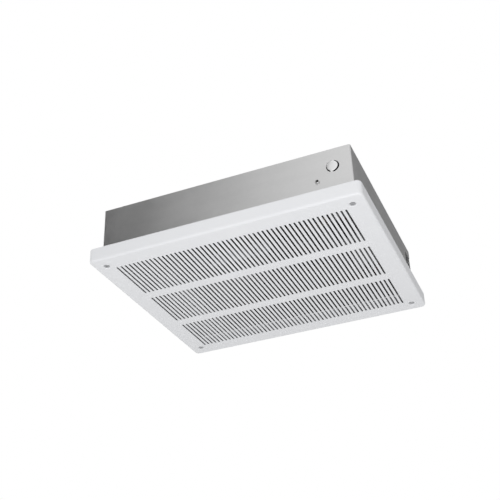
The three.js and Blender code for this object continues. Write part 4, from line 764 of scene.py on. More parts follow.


# ------------------------------------------------------------------ heater pan
# An inverted pan of galvanised sheet, flanged along its long sides, its zinc painted dark as painted shade
# for the inside of the box. The fan blows down through an orifice in its top, whose edge is rolled in.
PAN_TOP, PAN_SHEET, PAN_EDGE = -40 * MM, 1.0 * MM, 0.25 * MM
INLET_R, THROAT_R, INLET_BEND, INLET_DEPTH = 110 * MM, 104 * MM, 6 * MM, 14 * MM
INLET_CUT_R, INLET_SIDES, INLET_STEPS = 112.5 * MM, 96, 8
PAN_SCREW_X, PAN_SCREW_Y, PAN_FLANGE_Z = 125 * MM, 186.5 * MM, -88.3 * MM


def rolled(radius):
    """The inlet's quarter bend, from the pan's top into the throat."""
    return [
        (INLET_R - radius * math.sin(t), PAN_TOP - INLET_BEND + radius * math.cos(t))
        for t in (k / INLET_STEPS * math.pi / 2 for k in range(INLET_STEPS + 1))
    ]


def by_hole(p):
    """The inlet's cut edge and the flanges' screw holes stay as they are cut."""
    by_screw = abs(abs(p.x) - PAN_SCREW_X) < 8 * MM and abs(p.y) > PAN_SCREW_Y - 8.5 * MM
    return by_screw or math.hypot(p.x, p.y) < INLET_CUT_R + 0.5 * MM


through_top = plug(INLET_CUT_R, PAN_TOP - 20 * MM, PAN_TOP + 4 * MM)
inlet_bore = Shell().turned(through_top, sides=INLET_SIDES)
throat_low, hem = PAN_TOP - INLET_DEPTH, 0.4 * MM
hem_steps = ((0, hem), (0.5, 0), (1, hem))
throat_end = [(THROAT_R + PAN_SHEET * share, throat_low + rise) for share, rise in hem_steps]
inlet_skin = [
    (INLET_CUT_R, PAN_TOP), *rolled(INLET_BEND), *throat_end, *rolled(INLET_BEND - PAN_SHEET)[::-1],
    (INLET_CUT_R, PAN_TOP - PAN_SHEET), (INLET_CUT_R, PAN_TOP),
]
inlet = Shell().turned(inlet_skin, sides=INLET_SIDES)
# painted shade: the pan's zinc is far darker than the box's so that the inside seen through the slots looks
# shaded
shade_darkened_pan_steel = galvanised("galvanised_pan", tone(120, 121, 122), 0.3, gloss=0.4)
pan_sheet = softened(copied("heater_pan", inlet_bore), PAN_EDGE, spared=by_hole)
pan_mesh = joined("heater_pan_shell", pan_sheet, inlet.mesh("pan_inlet"))
link("heater_pan_shell", pan_mesh, shade_darkened_pan_steel, "galvanised", "heater_pan", corner=20)


# ------------------------------------------------------------------ heater pan screws
# Four zinc-plated sheet screws, whose hexagon heads are struck in one piece with their washers.
# They run up through the pan's flanges into the box's lip.
HEX_SIDES = 36
HEAD_R, HEAD_H = 4 * MM, 2.4 * MM
UNDER_HEAD = 0.3 * MM  # plain shank below the head


def hexagon(corner_r):
    """A hexagon's outline with a point every ten degrees."""
    loop = []
    for i in range(HEX_SIDES):
        angle = 2 * math.pi * i / HEX_SIDES
        reach = corner_r * math.cos(math.pi / 6) / math.cos(angle % (math.pi / 3) - math.pi / 6)
        loop.append((reach * math.cos(angle), reach * math.sin(angle)))
    return loop


def chamfered(shape, flat_r, z, way):
    """The shape's corners cut back to a cone that starts at flat_r, on the level z."""
    return [lifted(p, z + way * max(0.0, math.hypot(*p) - flat_r) * 0.55) for p in shape]


def hex_screw(end, head_r=HEAD_R, radius=SHANK_R):
    """A hexagon head with its washer, whose seat is at z = 0 and whose shank points up."""
    shape, flat_r, washer_z = hexagon(head_r * 0.88), head_r * 0.7, -HEAD_H * 0.22
    dish_z = -HEAD_H + 0.25 * MM
    dished_crown = [(0, dish_z), (flat_r * 0.66, dish_z), (flat_r * 0.74, -HEAD_H), (flat_r, -HEAD_H)]
    washer = [(head_r, washer_z * 0.85), (head_r, 0), (radius * 0.85, 0)]
    flanks = [chamfered(shape, flat_r, -HEAD_H, 1), [lifted(p, washer_z) for p in shape]]
    head = rings(dished_crown, HEX_SIDES) + flanks + rings(washer, HEX_SIDES)
    return Shell().band(head + thread_loops(UNDER_HEAD, end, radius, HEX_SIDES))


bright_zinc = plated("bright_zinc", tone(205, 206, 208), tone(158, 160, 163))
fasteners(
    "pan_screws", hex_screw(7.5 * MM),
    [(sx * PAN_SCREW_X, sy * PAN_SCREW_Y, PAN_FLANGE_Z - 0.3 * MM) for sx, sy in FOUR_CORNERS],
    bright_zinc, numbered("pan_screw", 4),
)


# ------------------------------------------------------------------ motor strap and its screws
# A hat-shaped strap of thicker galvanised steel over the orifice, its edges turned up, that the
# motor hangs from. Four screws hold its feet to the pan.
STRAP_SCREW = (126 * MM, 9 * MM, PAN_TOP + 2.2 * MM)
STRAP_SCREW_END, STRAP_EDGE, UPSIDE_DOWN = 7.6 * MM, 0.4 * MM, (math.pi, 0, 0)
strap_steel = galvanised("galvanised_strap", tone(158, 159, 160), 0.3, gloss=0.36)
link("strap", softened(copied("motor_strap"), STRAP_EDGE), strap_steel, "galvanised", "motor_strap")
fasteners(
    "strap_screws", hex_screw(STRAP_SCREW_END),
    [(sx * STRAP_SCREW[0], sy * STRAP_SCREW[1], STRAP_SCREW[2]) for sx, sy in FOUR_CORNERS],
    bright_zinc, numbered("strap_screw", 4), turn=UPSIDE_DOWN,
)


# ------------------------------------------------------------------ motor core
# The stator: 28 stampings of varnished electrical steel, riveted into one stack, with the rotor's
# bore and a window beside the leg that carries the coil.
CORE_LOW, CORE_HIGH, STAMPINGS = -29.6 * MM, -15.6 * MM, 28
STEEL_SHARE = 0.86  # of each stamping's pitch, the rest being the groove between two
CORE_OUTLINE = [(25, -16), (25, 46), (-25, 46), (-25, -16), (-17, -24), (17, -24)]
COIL_WINDOW = [(-15.3, 20), (15.3, 20), (15.3, 34), (-15.3, 34)]
CORE_BORE_R = 16.6 * MM
STUD_X, STUD_HOLE_R = 20.9 * MM, 2.4 * MM
stud_holes = [circle((side * STUD_X, 0), STUD_HOLE_R, 16) for side in (-1, 1)]
stamping_pitch = (CORE_HIGH - CORE_LOW) / STAMPINGS
stamping = Shell().prism(
    [mm(CORE_OUTLINE), circle((0, 0), CORE_BORE_R, 56), mm(COIL_WINDOW)] + stud_holes,
    CORE_LOW, CORE_LOW + stamping_pitch * STEEL_SHARE,
)
stack, given = node_tree("stack", Count="Int", Pitch="Vector", Finish="Material")
pile = {"Count": given["Count"], "Offset": given["Pitch"]}
layers = copies(stack, stack.add("GeometryNodeMeshLine", {"mode": "OFFSET"}, pile), given["Geometry"])
tree_end(stack, layers, given["Finish"])
core_steel = plated("varnished_steel", tone(112, 114, 118), tone(62, 63, 67), 300.0, 0.36)
one_up = (0, 0, stamping_pitch)
core_mesh = grown(stamping.mesh("stamping"), stack, Count=STAMPINGS, Pitch=one_up, Finish=core_steel)
link("laminated_core", core_mesh, core_steel, "laminations", "motor_core", corner=30)


# ------------------------------------------------------------------ coil
# Enamelled copper wire, wound in close turns on a bobbin of moulded nylon. The bobbin sits on the
# core's leg beside the window.
WIRE_R, TURNS = 0.68 * MM, 20
COIL_X, COIL_Y, COIL_Z = 13.7 * MM, 40 * MM, -22.6 * MM
COIL_HALF, COIL_CORNER, BOBBIN_EDGE = (14.1 * MM, 15.1 * MM), 5 * MM, 0.25 * MM


def moulded(name, light, dark, scale=260.0, rough=0.5, depth=0.01 * MM):
    """Moulded or fired stuff: a fine grain and a slow change of shade."""
    stuff = Finish(name)
    cloud, grain = stuff.noise(scale * 0.1, 3.0), stuff.noise(scale * 4, 2.0)
    stuff.set(Base_Color=stuff.blend(cloud * 0.6 + grain * 0.4, dark, light))
    return stuff.set(Roughness=rough + 0.12 * (cloud - 0.5), Normal=stuff.relief(grain, depth))


nylon = moulded("nylon", tone(232, 224, 204), tone(214, 205, 182))
link("bobbin", softened(copied("coil_bobbin"), BOBBIN_EDGE), nylon, "nylon", "coil_bobbin")
first_turn_x = -COIL_X + WIRE_R
turn_half = (COIL_HALF[0] - WIRE_R, COIL_HALF[1] - WIRE_R)
turn_path = [(first_turn_x, COIL_Y + y, COIL_Z + z) for y, z, _ in rounded_loop(turn_half, COIL_CORNER, 0, 6)]
copper = plated("enamelled_copper", tone(186, 98, 56), tone(126, 56, 28), 900.0, 0.28)
turn_mesh = Shell().tube(turn_path, WIRE_R, 8, closed=True).mesh("turn")
turn_pitch = 2 * (COIL_X - WIRE_R) / (TURNS - 1)
coil_mesh = grown(turn_mesh, stack, Count=TURNS, Pitch=(turn_pitch, 0, 0), Finish=copper)
link("winding", coil_mesh, copper, "copper", "coil_winding")


# ------------------------------------------------------------------ bearing bridges and bushes
# Two die-cast bridges across the stack, each with a domed housing that holds a barrel-shaped bush
# of oil-filled bronze.
BRIDGE_HALF, BRIDGE_CORNER, BRIDGE_T, BRIDGE_BORE_R = (25 * MM, 7 * MM), 2.5 * MM, 1.5 * MM, 6.3 * MM
BRIDGE_EDGE = 0.3 * MM
BRIDGE_SEATS = (("upper", -15.3 * MM, 1), ("lower", -29.9 * MM, -1))
DOME = [
    (8.8, 1.5), (8.5, 1.75), (8.4, 2.3), (8.4, 6.5), (8.1, 7.3), (6.6, 9.15), (6.0, 9.5), (3.6, 9.5),
    (3.6, 7.1), (6.3, 7.1), (6.3, 0.2), (8.8, 0.2), (8.8, 1.5),
]
BUSH = [
    (3.15, 0.3), (4.6, 0.3), (5.1, 0.45), (5.75, 1.6), (6.0, 3.55), (5.75, 5.5), (5.1, 6.65), (4.6, 6.8),
    (3.15, 6.8), (3.15, 0.3),
]
foot_outline = rounded_loop(BRIDGE_HALF, BRIDGE_CORNER, 0, 6)
bridge_plan = [foot_outline, circle((0, 0), BRIDGE_BORE_R, 48)] + stud_holes
cast = plated("cast_aluminium", tone(196, 198, 201), tone(160, 162, 166), 220.0, 0.42)
bronze = plated("oiled_bronze", tone(176, 130, 82), tone(132, 92, 54), 400.0)
for side, seat, way in BRIDGE_SEATS:
    bridge = Shell().prism(bridge_plan, *sorted((seat, seat + way * BRIDGE_T)))
    dome, bush = (
        Shell().turned([(r * MM, seat + way * z * MM) for r, z in profile], sides=64)
        for profile in (DOME, BUSH)
    )
    bridge_mesh = joined(side + "_bridge", softened(bridge.mesh("foot"), BRIDGE_EDGE), dome.mesh("dome"))
    link(side + "_bridge", bridge_mesh, cast, "aluminium", side + "_bearing_bridge", corner=50)
    link(side + "_bronze_bush", bush.mesh("bush"), bronze, "bronze", side + "_bush", corner=50)


# ------------------------------------------------------------------ motor through screws and nuts
# Two long screws of zinc-plated steel with hexagon heads, and a chamfered nut on each. They clamp
# both bridges and the stack to the strap.
STUD_R, STUD_END, STUD_SEAT_Z, NUT_Z = 2 * MM, 25.3 * MM, -31.7 * MM, -11.6 * MM
NUT_R, NUT_FLAT_R, NUT_H, NUT_BORE_R = 4.2 * MM, 3.45 * MM, 3.2 * MM, 2.3 * MM
fasteners(
    "motor_screws", hex_screw(STUD_END, radius=STUD_R), [(s * STUD_X, 0, STUD_SEAT_Z) for s in (1, -1)],
    bright_zinc, numbered("motor_stud", 2),
)
nut_low = [(NUT_BORE_R, 0.3 * MM), (NUT_BORE_R + 0.3 * MM, 0), (NUT_FLAT_R, 0)]
nut_high = [(r, NUT_H - z) for r, z in nut_low[::-1]]
nut_flanks = [chamfered(hexagon(NUT_R), NUT_FLAT_R, z, way) for z, way in ((0, 1), (NUT_H, -1))]
nut_low_loops = rings(nut_low, HEX_SIDES)
nut = Shell().band(nut_low_loops + nut_flanks + rings(nut_high, HEX_SIDES) + nut_low_loops[:1])
fasteners("motor_nuts", nut, [(s * STUD_X, 0, NUT_Z) for s in (1, -1)], bright_zinc, numbered("motor_nut", 2))


# ------------------------------------------------------------------ shaft and rotor
# A ground steel shaft, pressed into the rotor. The rotor is a stack of steel stampings between two
# end rings of cast aluminium. Both profiles are in millimetres.
SHAFT = [
    (0, -67.6), (1.9, -67.6), (2.25, -67.5), (3.0, -66.8), (3.0, -31.2), (2.85, -31.0), (2.85, -30.4),
    (3.0, -30.2), (3.0, -9.5), (2.25, -8.8), (0, -8.8),
]
ROTOR_LOW, ROTOR_HIGH, ROTOR_R, ROTOR_BORE_R = -29.0, -16.2, 16, 3.3
END_RING = [(13.4, 0), (14.6, 0.3), (15.3, 1.0), (15.4, 2.2)]  # from its end face inwards
ROTOR_STAMPINGS, ROTOR_PITCH, GROOVE = 17, 0.5, 0.12
ground_steel = plated("ground_steel", tone(214, 215, 217), tone(188, 190, 193), 700.0, 0.18)
shaft = Shell().turned(mm(SHAFT), sides=48)
link("shaft", shaft.mesh("shaft"), ground_steel, "zinc_fastener", "motor_shaft", body="fan_rotor", corner=40)
rotor = [(ROTOR_BORE_R, ROTOR_LOW)] + [(r, ROTOR_LOW + z) for r, z in END_RING]
for k in range(ROTOR_STAMPINGS):
    z = ROTOR_LOW + END_RING[-1][1] + k * ROTOR_PITCH
    rotor += [(ROTOR_R - GROOVE, z), (ROTOR_R, z + 0.1), (ROTOR_R, z + 0.38)]
rotor += [(r, ROTOR_HIGH - z) for r, z in END_RING[::-1]]
rotor += [(ROTOR_BORE_R, ROTOR_HIGH), (ROTOR_BORE_R, ROTOR_LOW)]
rotor_mesh = Shell().turned(mm(rotor), sides=64).mesh("rotor")
link("rotor", rotor_mesh, cast, "aluminium", "motor_rotor", body="fan_rotor", corner=35)


# ------------------------------------------------------------------ fan blade
# One pressed aluminium sheet: a flat centre and five blades that twist from it, each cambered and
# with its tip rounded. The tree turns one blade round to make the five.
FAN_Z, FAN_R, FAN_BLADES, FAN_CENTRE_R, FAN_BORE_R = -54 * MM, 100 * MM, 5, 27 * MM, 8.3 * MM
BLADE_T, BLADE_RISE, BLADE_ROOT = 1.2 * MM, 10.5 * MM, 23 * MM
ROOT_ANGLE, ANGLE_GAIN, TIP_SWEEP = 0.36, 0.11, 0.16  # half the arc, its growth, what the tip loses
CAMBER, LEANS_BY = 0.22, 0.5  # of the rise; share of the length over which it leans in
TIP_FROM = 0.985  # share of the length where the tip's edge thins
STATIONS, ACROSS = 26, 16


def blade_section(u):
    """The closed outline of the blade across its length, at a share u of it."""
    radius = BLADE_ROOT + (FAN_R - BLADE_ROOT) * u
    s = min(1.0, u / LEANS_BY)
    lean = s * s * (3 - 2 * s)
    half_angle = (ROOT_ANGLE + ANGLE_GAIN * u) * (1 - TIP_SWEEP * u ** 3)
    at_tip = 1 - 0.6 * max(0.0, (u - TIP_FROM) / (1 - TIP_FROM))
    top, low = [], []
    for i in range(ACROSS + 1):
        v = 2 * i / ACROSS - 1
        x, y = radius * math.cos(v * half_angle), radius * math.sin(v * half_angle)
        height = (v - CAMBER * (1 - v * v)) * lean * (BLADE_RISE - BLADE_T / 2)
        thin = BLADE_T / 2 * (1 - 0.75 * abs(v) ** 14) * at_tip
        top.append((x, y, height + thin))
        low.append((x, y, height - thin))
    return top + low[::-1]


sections = [blade_section(k / (STATIONS - 2) * TIP_FROM) for k in range(STATIONS - 1)] + [blade_section(1.0)]
blade = Shell().band(sections)
for end in (sections[0], sections[-1]):
    for i in range(ACROSS):
        blade.face(end[i], end[i + 1], end[-2 - i], end[-1 - i])
centre_plan = [circle((0, 0), FAN_CENTRE_R, 80), circle((0, 0), FAN_BORE_R, 48)]
centre = Shell().prism(centre_plan, -BLADE_T / 2, BLADE_T / 2)
centre_piece = placed("fan_centre", softened(centre.mesh("fan_centre"), 0.2 * MM))
spider, given = node_tree("fan_spider", Blades="Int", Height="Float", Centre="Object", Sheet="Material")
all_on_axis = {"Count": given["Blades"], "Offset": (0, 0, 0)}
spots = spider.add("GeometryNodeMeshLine", {"mode": "OFFSET"}, all_on_axis)
angle = spider.add("GeometryNodeInputIndex") * (2 * math.pi / given["Blades"])
round_z = spider.add("ShaderNodeCombineXYZ", sockets={"Z": angle})
blades = copies(spider, spots, given["Geometry"], Rotation=round_z)
fan_whole = with_piece(spider, blades, given["Centre"])
down = spider.add("ShaderNodeCombineXYZ", sockets={"Z": given["Height"]})
in_place = spider.add("GeometryNodeTransform", sockets={0: fan_whole, "Translation": down})
tree_end(spider, in_place, given["Sheet"])
fan_sheet = plated("rolled_aluminium", tone(206, 208, 211), tone(180, 182, 186), 120.0, 0.3)
one_blade = blade.mesh("one_blade")
fan_mesh = grown(one_blade, spider, Blades=FAN_BLADES, Height=FAN_Z, Centre=centre_piece, Sheet=fan_sheet)
bpy.data.objects.remove(centre_piece)
link("five_blade_fan", fan_mesh, fan_sheet, "aluminium", "fan_blade", body="fan_rotor", corner=50)


# ------------------------------------------------------------------ fan hub and set screw
# A hub turned from steel and zinc-plated, with a flange that the sheet is fixed to. A blackened
# socket set screw in its side bites on the shaft.
HUB = [
    (3.3, -66.1), (7.4, -66.1), (8.0, -65.5), (8.0, -53.4), (8.3, -53.1), (13.6, -53.1), (14.0, -52.7),
    (14.0, -51.5), (13.6, -51.1), (3.7, -51.1), (3.3, -51.5), (3.3, -66.1),
]
SET_SCREW = [
    (0, 3.3), (1.2, 3.3), (1.8, 3.7), (2.0, 4.1), (2.0, 7.6), (1.8, 7.9), (1.1, 7.9), (1.05, 6.3), (0, 6.1),
]
SET_AT = (0, -61.1 * MM)
set_bore = Shell().turned(mm(plug(2.3, 1, 10)), SET_AT, 24, ALONG_X)
hub_mesh = carved(Shell().turned(mm(HUB), sides=64).mesh("hub"), set_bore)
link("hub", hub_mesh, bright_zinc, "zinc_fastener", "fan_hub", body="fan_rotor", corner=30)
black_steel = plated("blackened_steel", tone(84, 86, 90), tone(48, 49, 52), 300.0)
set_mesh = Shell().turned(mm(SET_SCREW), SET_AT, 24, ALONG_X).mesh("set_screw")
link("set_screw", set_mesh, black_steel, "zinc_fastener", "fan_set_screw", body="fan_rotor", corner=40)


# ------------------------------------------------------------------ heating element
# One steel-sheathed rod folded into four legs, with pressed steel fins pushed onto each leg and
# browned by the heat.
SHEATH_R, ROD_END_X = 4 * MM, 160 * MM
LEG_Y, LEG_Z, BEND_X, BEND_R, BEND_PARTS = 105 * MM, -77.1 * MM, 105 * MM, 35 * MM, 24
FINS_PER_LEG, FIN_SPAN, LEGS = 31, 180 * MM, 4
FIN = [
    (3.9, -1.1), (4.35, -1.1), (4.4, -0.25), (9.7, -0.22), (10.0, 0), (9.7, 0.22), (3.9, 0.25), (3.9, -1.1),
]
path = [(ROD_END_X, -LEG_Y, LEG_Z), (BEND_X, -LEG_Y, LEG_Z)]
for leg in range(LEGS - 1):
    way, y = (1 if leg % 2 else -1), -LEG_Y + leg * 2 * BEND_R
    for swing in (k / BEND_PARTS * math.pi for k in range(BEND_PARTS + 1)):
        path.append((way * (BEND_X + BEND_R * math.sin(swing)), y + BEND_R * (1 - math.cos(swing)), LEG_Z))
path.append((ROD_END_X, LEG_Y, LEG_Z))
fins, given = node_tree(
    "finned_legs", Fins="Int", Legs="Int", Span="Float", Width="Float", Height="Float",
    Rod="Object", Steel="Material",
)
rack = fins.add("GeometryNodeMeshGrid", sockets={
    "Size X": given["Span"], "Vertices X": given["Fins"],
    "Size Y": given["Width"], "Vertices Y": given["Legs"],
})
pushed_on = copies(fins, rack, given["Geometry"])
down = fins.add("ShaderNodeCombineXYZ", sockets={"Z": given["Height"]})
on_legs = fins.add("GeometryNodeTransform", sockets={0: pushed_on, "Translation": down})
tree_end(fins, with_piece(fins, on_legs, given["Rod"]), given["Steel"])
rod_piece = placed("sheath", Shell().tube(path, SHEATH_R, 20).mesh("sheath"))
element_steel = plated("browned_steel", tone(112, 102, 92), tone(64, 58, 54), 90.0, 0.38)
fin_mesh = Shell().turned(mm(FIN), (0, 0), 20, ALONG_X).mesh("fin")
element_mesh = grown(
    fin_mesh, fins, Fins=FINS_PER_LEG, Legs=LEGS, Span=FIN_SPAN, Width=2 * LEG_Y, Height=LEG_Z,
    Rod=rod_piece, Steel=element_steel,
)
bpy.data.objects.remove(rod_piece)
link("finned_element", element_mesh, element_steel, "element_sheath", "heating_element", corner=40)


# ------------------------------------------------------------------ element supports
# Two upright strips of galvanised sheet across the pan, notched for the element's four legs and
# tabbed to the pan's walls.
STRIP_EDGE = 0.12 * MM
# the strips take the pan's darkened zinc, which is painted shade
for name in numbered("element_support", 2):
    link(name + "_strip", softened(copied(name), STRIP_EDGE, 1), shade_darkened_pan_steel, "galvanised", name)


# ------------------------------------------------------------------ element bushings and terminals
# Fired steatite collars where the rod passes the pan's end wall, and a push-on spade on each cold
# pin.
COLLAR = [
    (4.3, 146.6), (6.6, 146.6), (7.0, 147.0), (7.0, 150.3), (9.0, 150.3), (9.4, 150.7), (9.4, 152.3),
    (9.0, 152.7), (4.7, 152.7), (4.3, 152.3), (4.3, 146.6),
]
PIN = [(0, 160.3), (1.6, 160.3), (1.6, 167.1), (1.3, 167.4), (0, 167.4)]
SPADE_HALF_W, SPADE_HALF_T, SPADE_EDGE = 3.15 * MM, 0.4 * MM, 0.12 * MM
PIN_SPADE = [(167, -3.15), (173.9, -3.15), (175.3, -2.0), (175.3, 2.0), (173.9, 3.15), (167, 3.15)]
PIN_SPADE_HOLE_X, PIN_SPADE_HOLE_R = 171.5 * MM, 0.9 * MM
steatite = moulded("steatite", tone(232, 226, 214), tone(205, 197, 182), rough=0.62)
for end, y in (("1", -LEG_Y), ("2", LEG_Y)):
    collar = Shell().turned(mm(COLLAR), (y, LEG_Z), 48, ALONG_X).mesh("collar")
    bushing, terminal = "element_bushing_" + end, "element_terminal_" + end
    link(bushing + "_collar", collar, steatite, "ceramic", bushing, corner=50)
    pin = Shell().turned(mm(PIN), (y, LEG_Z), 24, ALONG_X).mesh("pin")
    outline = [(x, y + across) for x, across in mm(PIN_SPADE)]
    plan = [outline, circle((PIN_SPADE_HOLE_X, y), PIN_SPADE_HOLE_R, 16)]
    spade = Shell().prism(plan, LEG_Z - SPADE_HALF_T, LEG_Z + SPADE_HALF_T).mesh("spade")
    pin_mesh = joined(terminal, pin, softened(spade, SPADE_EDGE))
    link(terminal + "_pin", pin_mesh, bright_zinc, "zinc_fastener", terminal, corner=40)


# ------------------------------------------------------------------ control plate and its screws
# A bent bracket of galvanised steel on the pan's end wall that carries the relay and the cut-out.
# Two sheet screws hold it, driven from the side of the controls.
PLATE_SCREW_X, PLATE_SCREW_YS, PLATE_SCREW_Z = 151.6 * MM, (-20 * MM, 60 * MM), -62 * MM
PLATE_SCREW_END, TOWARDS_ELEMENT = 7.0 * MM, (0, -math.pi / 2, 0)
bracket_mesh = softened(copied("control_plate"), SHEET_EDGE)
link("control_bracket", bracket_mesh, strap_steel, "galvanised", "control_plate")
fasteners(
    "plate_screws", hex_screw(PLATE_SCREW_END), [(PLATE_SCREW_X, y, PLATE_SCREW_Z) for y in PLATE_SCREW_YS],
    bright_zinc, numbered("plate_screw", 2), turn=TOWARDS_ELEMENT,
)


# ------------------------------------------------------------------ fan delay relay
# A relay with a small heater of its own, so that the fan starts late and runs on. Its moulded case
# has two fixing feet and four plated push-on spades.
CONTROL_X, RELAY_Y = 176 * MM, 48 * MM
# Each part of the case: half its length and width, its lowest and highest level, its edge's radius.
RELAY_CASE = [(20, 14, -71.7, -67.7, 0.5), (16, 14, -67.9, -56.2, 0.8), (15.4, 13.4, -56.9, -50.7, 0.8)]
SPADE_H, SPADE_HOLE_R, SPADE_TAPER = 8.5 * MM, 0.85 * MM, (1.1 * MM, 1.2 * MM)
RELAY_SPADE_AT, RELAY_SPADE_Z = (8 * MM, 7 * MM), -51.2 * MM


def push_on(places, z):
    """Spades that stand up from z, each with its hole."""
    top, shoulder = z + SPADE_H, z + SPADE_H - SPADE_TAPER[1]
    spades = []
    for x, y in places:
        half, tip = SPADE_HALF_W, SPADE_HALF_W - SPADE_TAPER[0]
        outline = [(x - half, z), (x + half, z), (x + half, shoulder)]
        outline += [(x + tip, top), (x - tip, top), (x - half, shoulder)]
        plan = [outline, circle((x, z + SPADE_H * 0.55), SPADE_HOLE_R, 16)]
        spade = Shell().prism(plan, y - SPADE_HALF_T, y + SPADE_HALF_T, ALONG_Y)
        spades.append(softened(spade.mesh("spade"), SPADE_EDGE))
    return joined("spades", *spades)


black_mould = moulded("black_phenolic", tone(52, 52, 55), tone(28, 28, 30))
relay_body = []
for half_x, half_y, low, high, edge in mm(RELAY_CASE):
    outline = [(CONTROL_X + sx * half_x, RELAY_Y + sy * half_y) for sx, sy in ROUND_A_SQUARE]
    relay_body.append(softened(Shell().prism([outline], low, high).mesh("case"), edge))
link("relay_case", joined("relay_case", *relay_body), black_mould, "phenolic", "fan_delay_relay")
spade_places = [
    (CONTROL_X + sx * RELAY_SPADE_AT[0], RELAY_Y + sy * RELAY_SPADE_AT[1]) for sx in (-1, 1) for sy in (-1, 1)
]
relay_spades = push_on(spade_places, RELAY_SPADE_Z)
link("relay_spades", relay_spades, bright_zinc, "zinc_fastener", corner=40)


# ------------------------------------------------------------------ limit cut-out and its reset button
# A disc thermostat in a moulded body that looks down through the bracket, with a red button that
# is pushed up to reset it.
LIMIT_Y, LIMIT_SPADE_Y, LIMIT_SPADE_Z = -8 * MM, 5 * MM, -59.2 * MM
LIMIT = [
    (2.5, -76), (4.5, -76), (5.0, -75.5), (5.0, -71.7), (9.4, -71.7), (10, -71.2), (10, -66.5), (9.7, -66.3),
    (9.7, -65.7), (10, -65.5), (10, -60.9), (9.6, -59.9), (8.0, -58.7), (0, -58.7), (0, -62.7), (2.5, -62.7),
    (2.5, -76),
]
BUTTON = [(0, -81), (0.9, -80.95), (1.5, -80.75), (2.0, -80.3), (2.2, -79.6), (2.2, -65.5), (0, -65.5)]
limit_mesh = Shell().turned(mm(LIMIT), (CONTROL_X, LIMIT_Y), 64).mesh("limit_body")
link("limit_body", limit_mesh, black_mould, "phenolic", "limit_cutout", corner=40)
limit_spades = push_on([(CONTROL_X, LIMIT_Y + s * LIMIT_SPADE_Y) for s in (-1, 1)], LIMIT_SPADE_Z)
link("limit_spades", limit_spades, bright_zinc, "zinc_fastener", corner=40)
red = moulded("red_button", tone(196, 38, 34), tone(158, 24, 22), rough=0.4)
button_mesh = Shell().turned(mm(BUTTON), (CONTROL_X, LIMIT_Y), 40).mesh("button")
link("button", button_mesh, red, "red_plastic", "reset_button", body="reset", corner=50)


# ------------------------------------------------------------------ wiring cover and side screw
# A bent cover of galvanised steel that closes off the corner behind the knockouts. One round-headed
# screw through the near wall holds its tab.
SIDE_SCREW_AT, SOCKET_R = (170 * MM, -194.3 * MM, -58 * MM), 2.4 * MM
ROUND_HEAD = [
    (0, -1.2), (1.9, -1.2), (2.3, -1.5), (2.35, -2.2), (2.75, -2.35), (3.4, -1.9), (3.85, -1.1), (4.0, -0.4),
    (3.9, 0.0), (1.8, 0.0),
]


def socket_shaded_screw_finish():
    """Bright plating, with painted shade: the socket's recess is painted near black."""
    metal = Finish("side_screw_zinc", Metallic=0.9)
    cloud = metal.noise(500.0, 3.0)
    in_wall = (1, 0, 1)
    spot = metal.add("ShaderNodeVectorMath", {"operation": "MULTIPLY"}, {0: metal.coordinates, 1: in_wall})
    middle = (SIDE_SCREW_AT[0], 0, SIDE_SCREW_AT[2])
    reach = metal.add("ShaderNodeVectorMath", {"operation": "DISTANCE"}, {0: spot, 1: middle}, out="Value")
    # painted shade: inside the socket's radius the plating is blended to near black
    dark = metal.fade(reach, SOCKET_R + 0.35 * MM, SOCKET_R)
    bright = metal.blend(cloud, tone(196), tone(232))
    return metal.set(Base_Color=metal.blend(dark, bright, tone(70)), Roughness=0.28 + 0.2 * cloud)


cover_mesh = softened(copied("wiring_cover"), SHEET_EDGE)
link("wiring_compartment_cover", cover_mesh, strap_steel, "galvanised", "wiring_cover")
side_shank = thread_loops(UNDER_HEAD, 7.2 * MM, SHANK_R, HEX_SIDES)
fasteners(
    "side_screw_piece", Shell().band(rings(mm(ROUND_HEAD), HEX_SIDES) + side_shank), [SIDE_SCREW_AT],
    socket_shaded_screw_finish(), ["side_screw"], turn=(-math.pi / 2, 0, 0),
)


# ------------------------------------------------------------------ lead grommet
# A ring of moulded rubber, grooved all round to sit in the hole of the cover's end wall. The supply
# leads pass through it.
GROMMET_AT, COVER_END_Y = (192.1 * MM, -34 * MM), -82.5
GROMMET = [
    (5.5, -2.4), (5.9, -2.8), (9.6, -2.8), (10.6, -2.5), (11.0, -1.9), (11.0, -0.8), (9.0, -0.8), (9.0, 0.8),
    (11.0, 0.8), (11.0, 1.9), (10.6, 2.5), (9.6, 2.8), (5.9, 2.8), (5.5, 2.4), (5.5, -2.4),
]
rubber = moulded("rubber", tone(44, 44, 46), tone(24, 24, 25), rough=0.75)
grommet = Shell().turned(mm((r, COVER_END_Y + y) for r, y in GROMMET), GROMMET_AT, 56, ALONG_Y)
link("rubber_grommet", grommet.mesh("grommet"), rubber, "rubber", "lead_grommet", corner=50)


# ------------------------------------------------------------------ terminal block
# A moulded barrier block on the box's ceiling, with a clamp plate and a screw for each of the
# three supply wires.
BLOCK_X, BLOCK_FACE, BLOCK_EDGE = 192.1 * MM, -12.5 * MM, 0.5 * MM
POLES = [-159.3 * MM, -142 * MM, -124.7 * MM]
CLAMP_HALF, CLAMP_CORNER, CLAMP_HOLE_R = (9.5 * MM, 6.2 * MM), 1.0 * MM, 2.5 * MM
CLAMP_PROUD, CLAMP_SUNK = 0.22 * MM, 0.3 * MM
PAN_HEAD = [(2.6, -2.4), (3.4, -2.1), (3.85, -1.4), (4.0, -0.5), (4.0, 0.0), (1.8, 0.0)]
block_mesh = softened(copied("terminal_block"), BLOCK_EDGE)
link("barrier_block", block_mesh, black_mould, "phenolic", "terminal_block")
clamps = []
for y in POLES:
    outline = [(BLOCK_X + p[0], y + p[1]) for p in rounded_loop(CLAMP_HALF, CLAMP_CORNER, 0, 4)]
    plan = [outline, circle((BLOCK_X, y), CLAMP_HOLE_R, 24)]
    clamps.append(Shell().prism(plan, BLOCK_FACE - CLAMP_PROUD, BLOCK_FACE + CLAMP_SUNK).mesh("clamp"))
brass = plated("brass", tone(206, 178, 112), tone(170, 142, 84), 300.0)
link("clamp_plates", joined("clamp_plates", *clamps), brass, "bronze", corner=40)
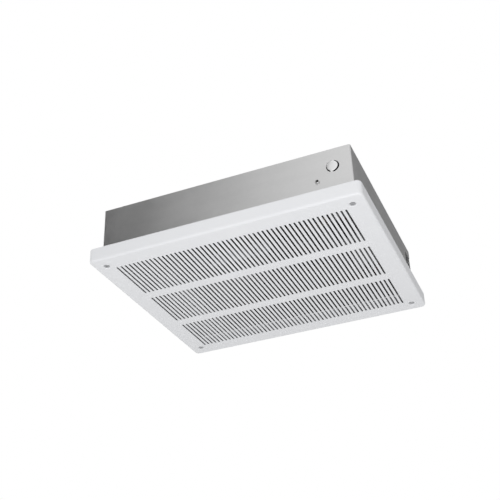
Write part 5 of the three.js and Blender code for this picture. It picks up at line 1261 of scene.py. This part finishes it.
fasteners(
    "terminal_screws", cross_head_screw(mm(PAN_HEAD), UNDER_HEAD, 5.0 * MM, 2.0 * MM, 1.3 * MM),
    [(BLOCK_X, y, BLOCK_FACE - 0.3 * MM) for y in POLES], bright_zinc, numbered("terminal_screw", 3),
)


# ------------------------------------------------------------------ earth screw
# A steel screw with a hexagon head, plated green as the mark of the earth wire. It is driven up
# into the dimple of the box's ceiling.
EARTH_AT, EARTH_END, EARTH_HEAD_R = (BLOCK_X, -98 * MM, -6.5 * MM), 5.2 * MM, 5 * MM
green = plated("green_plating", tone(60, 138, 84), tone(34, 92, 52))
fasteners(
    "earth_screw", hex_screw(EARTH_END, EARTH_HEAD_R), [EARTH_AT], green, ["ground_screw"], "green_fastener",
)


# ------------------------------------------------------------------ internal leads
# Stranded copper in extruded insulation: the supply pair from the block, two to the element's ends
# and two to the motor's coil.
def in_long_faces(shape):
    """A tube's loose triangles joined up, so that a smoothing follows its length."""
    merged(shape)
    bmesh.ops.dissolve_limit(shape, angle_limit=math.radians(0.2), verts=shape.verts, edges=shape.edges)
    bmesh.ops.join_triangles(shape, faces=shape.faces, angle_face_threshold=0.6, angle_shape_threshold=3.0)


def smoothed(node):
    """A copy of a lead's tube with its facets turned into smooth curves."""
    piece = placed(node + "_cage", worked(bpy.data.meshes.new(node), in_long_faces, nodes[node].data))
    curves = piece.modifiers.new("curves", "SUBSURF")
    curves.levels = curves.render_levels = 2
    return baked(piece)


insulation = {
    "red": moulded("red_insulation", tone(128, 38, 32), tone(96, 26, 22), rough=0.6),
    "black": moulded("black_insulation", tone(46, 46, 49), tone(26, 26, 28), rough=0.55),
    "white": moulded("white_insulation", tone(226, 226, 222), tone(202, 202, 197), rough=0.55),
}
for name, colour in (
    ("line_lead", "black"), ("neutral_lead", "white"), ("element_lead_1", "red"),
    ("element_lead_2", "red"), ("motor_lead_1", "black"), ("motor_lead_2", "white"),
):
    link(name + "_wire", smoothed(name), insulation[colour], "lead_" + colour, name)
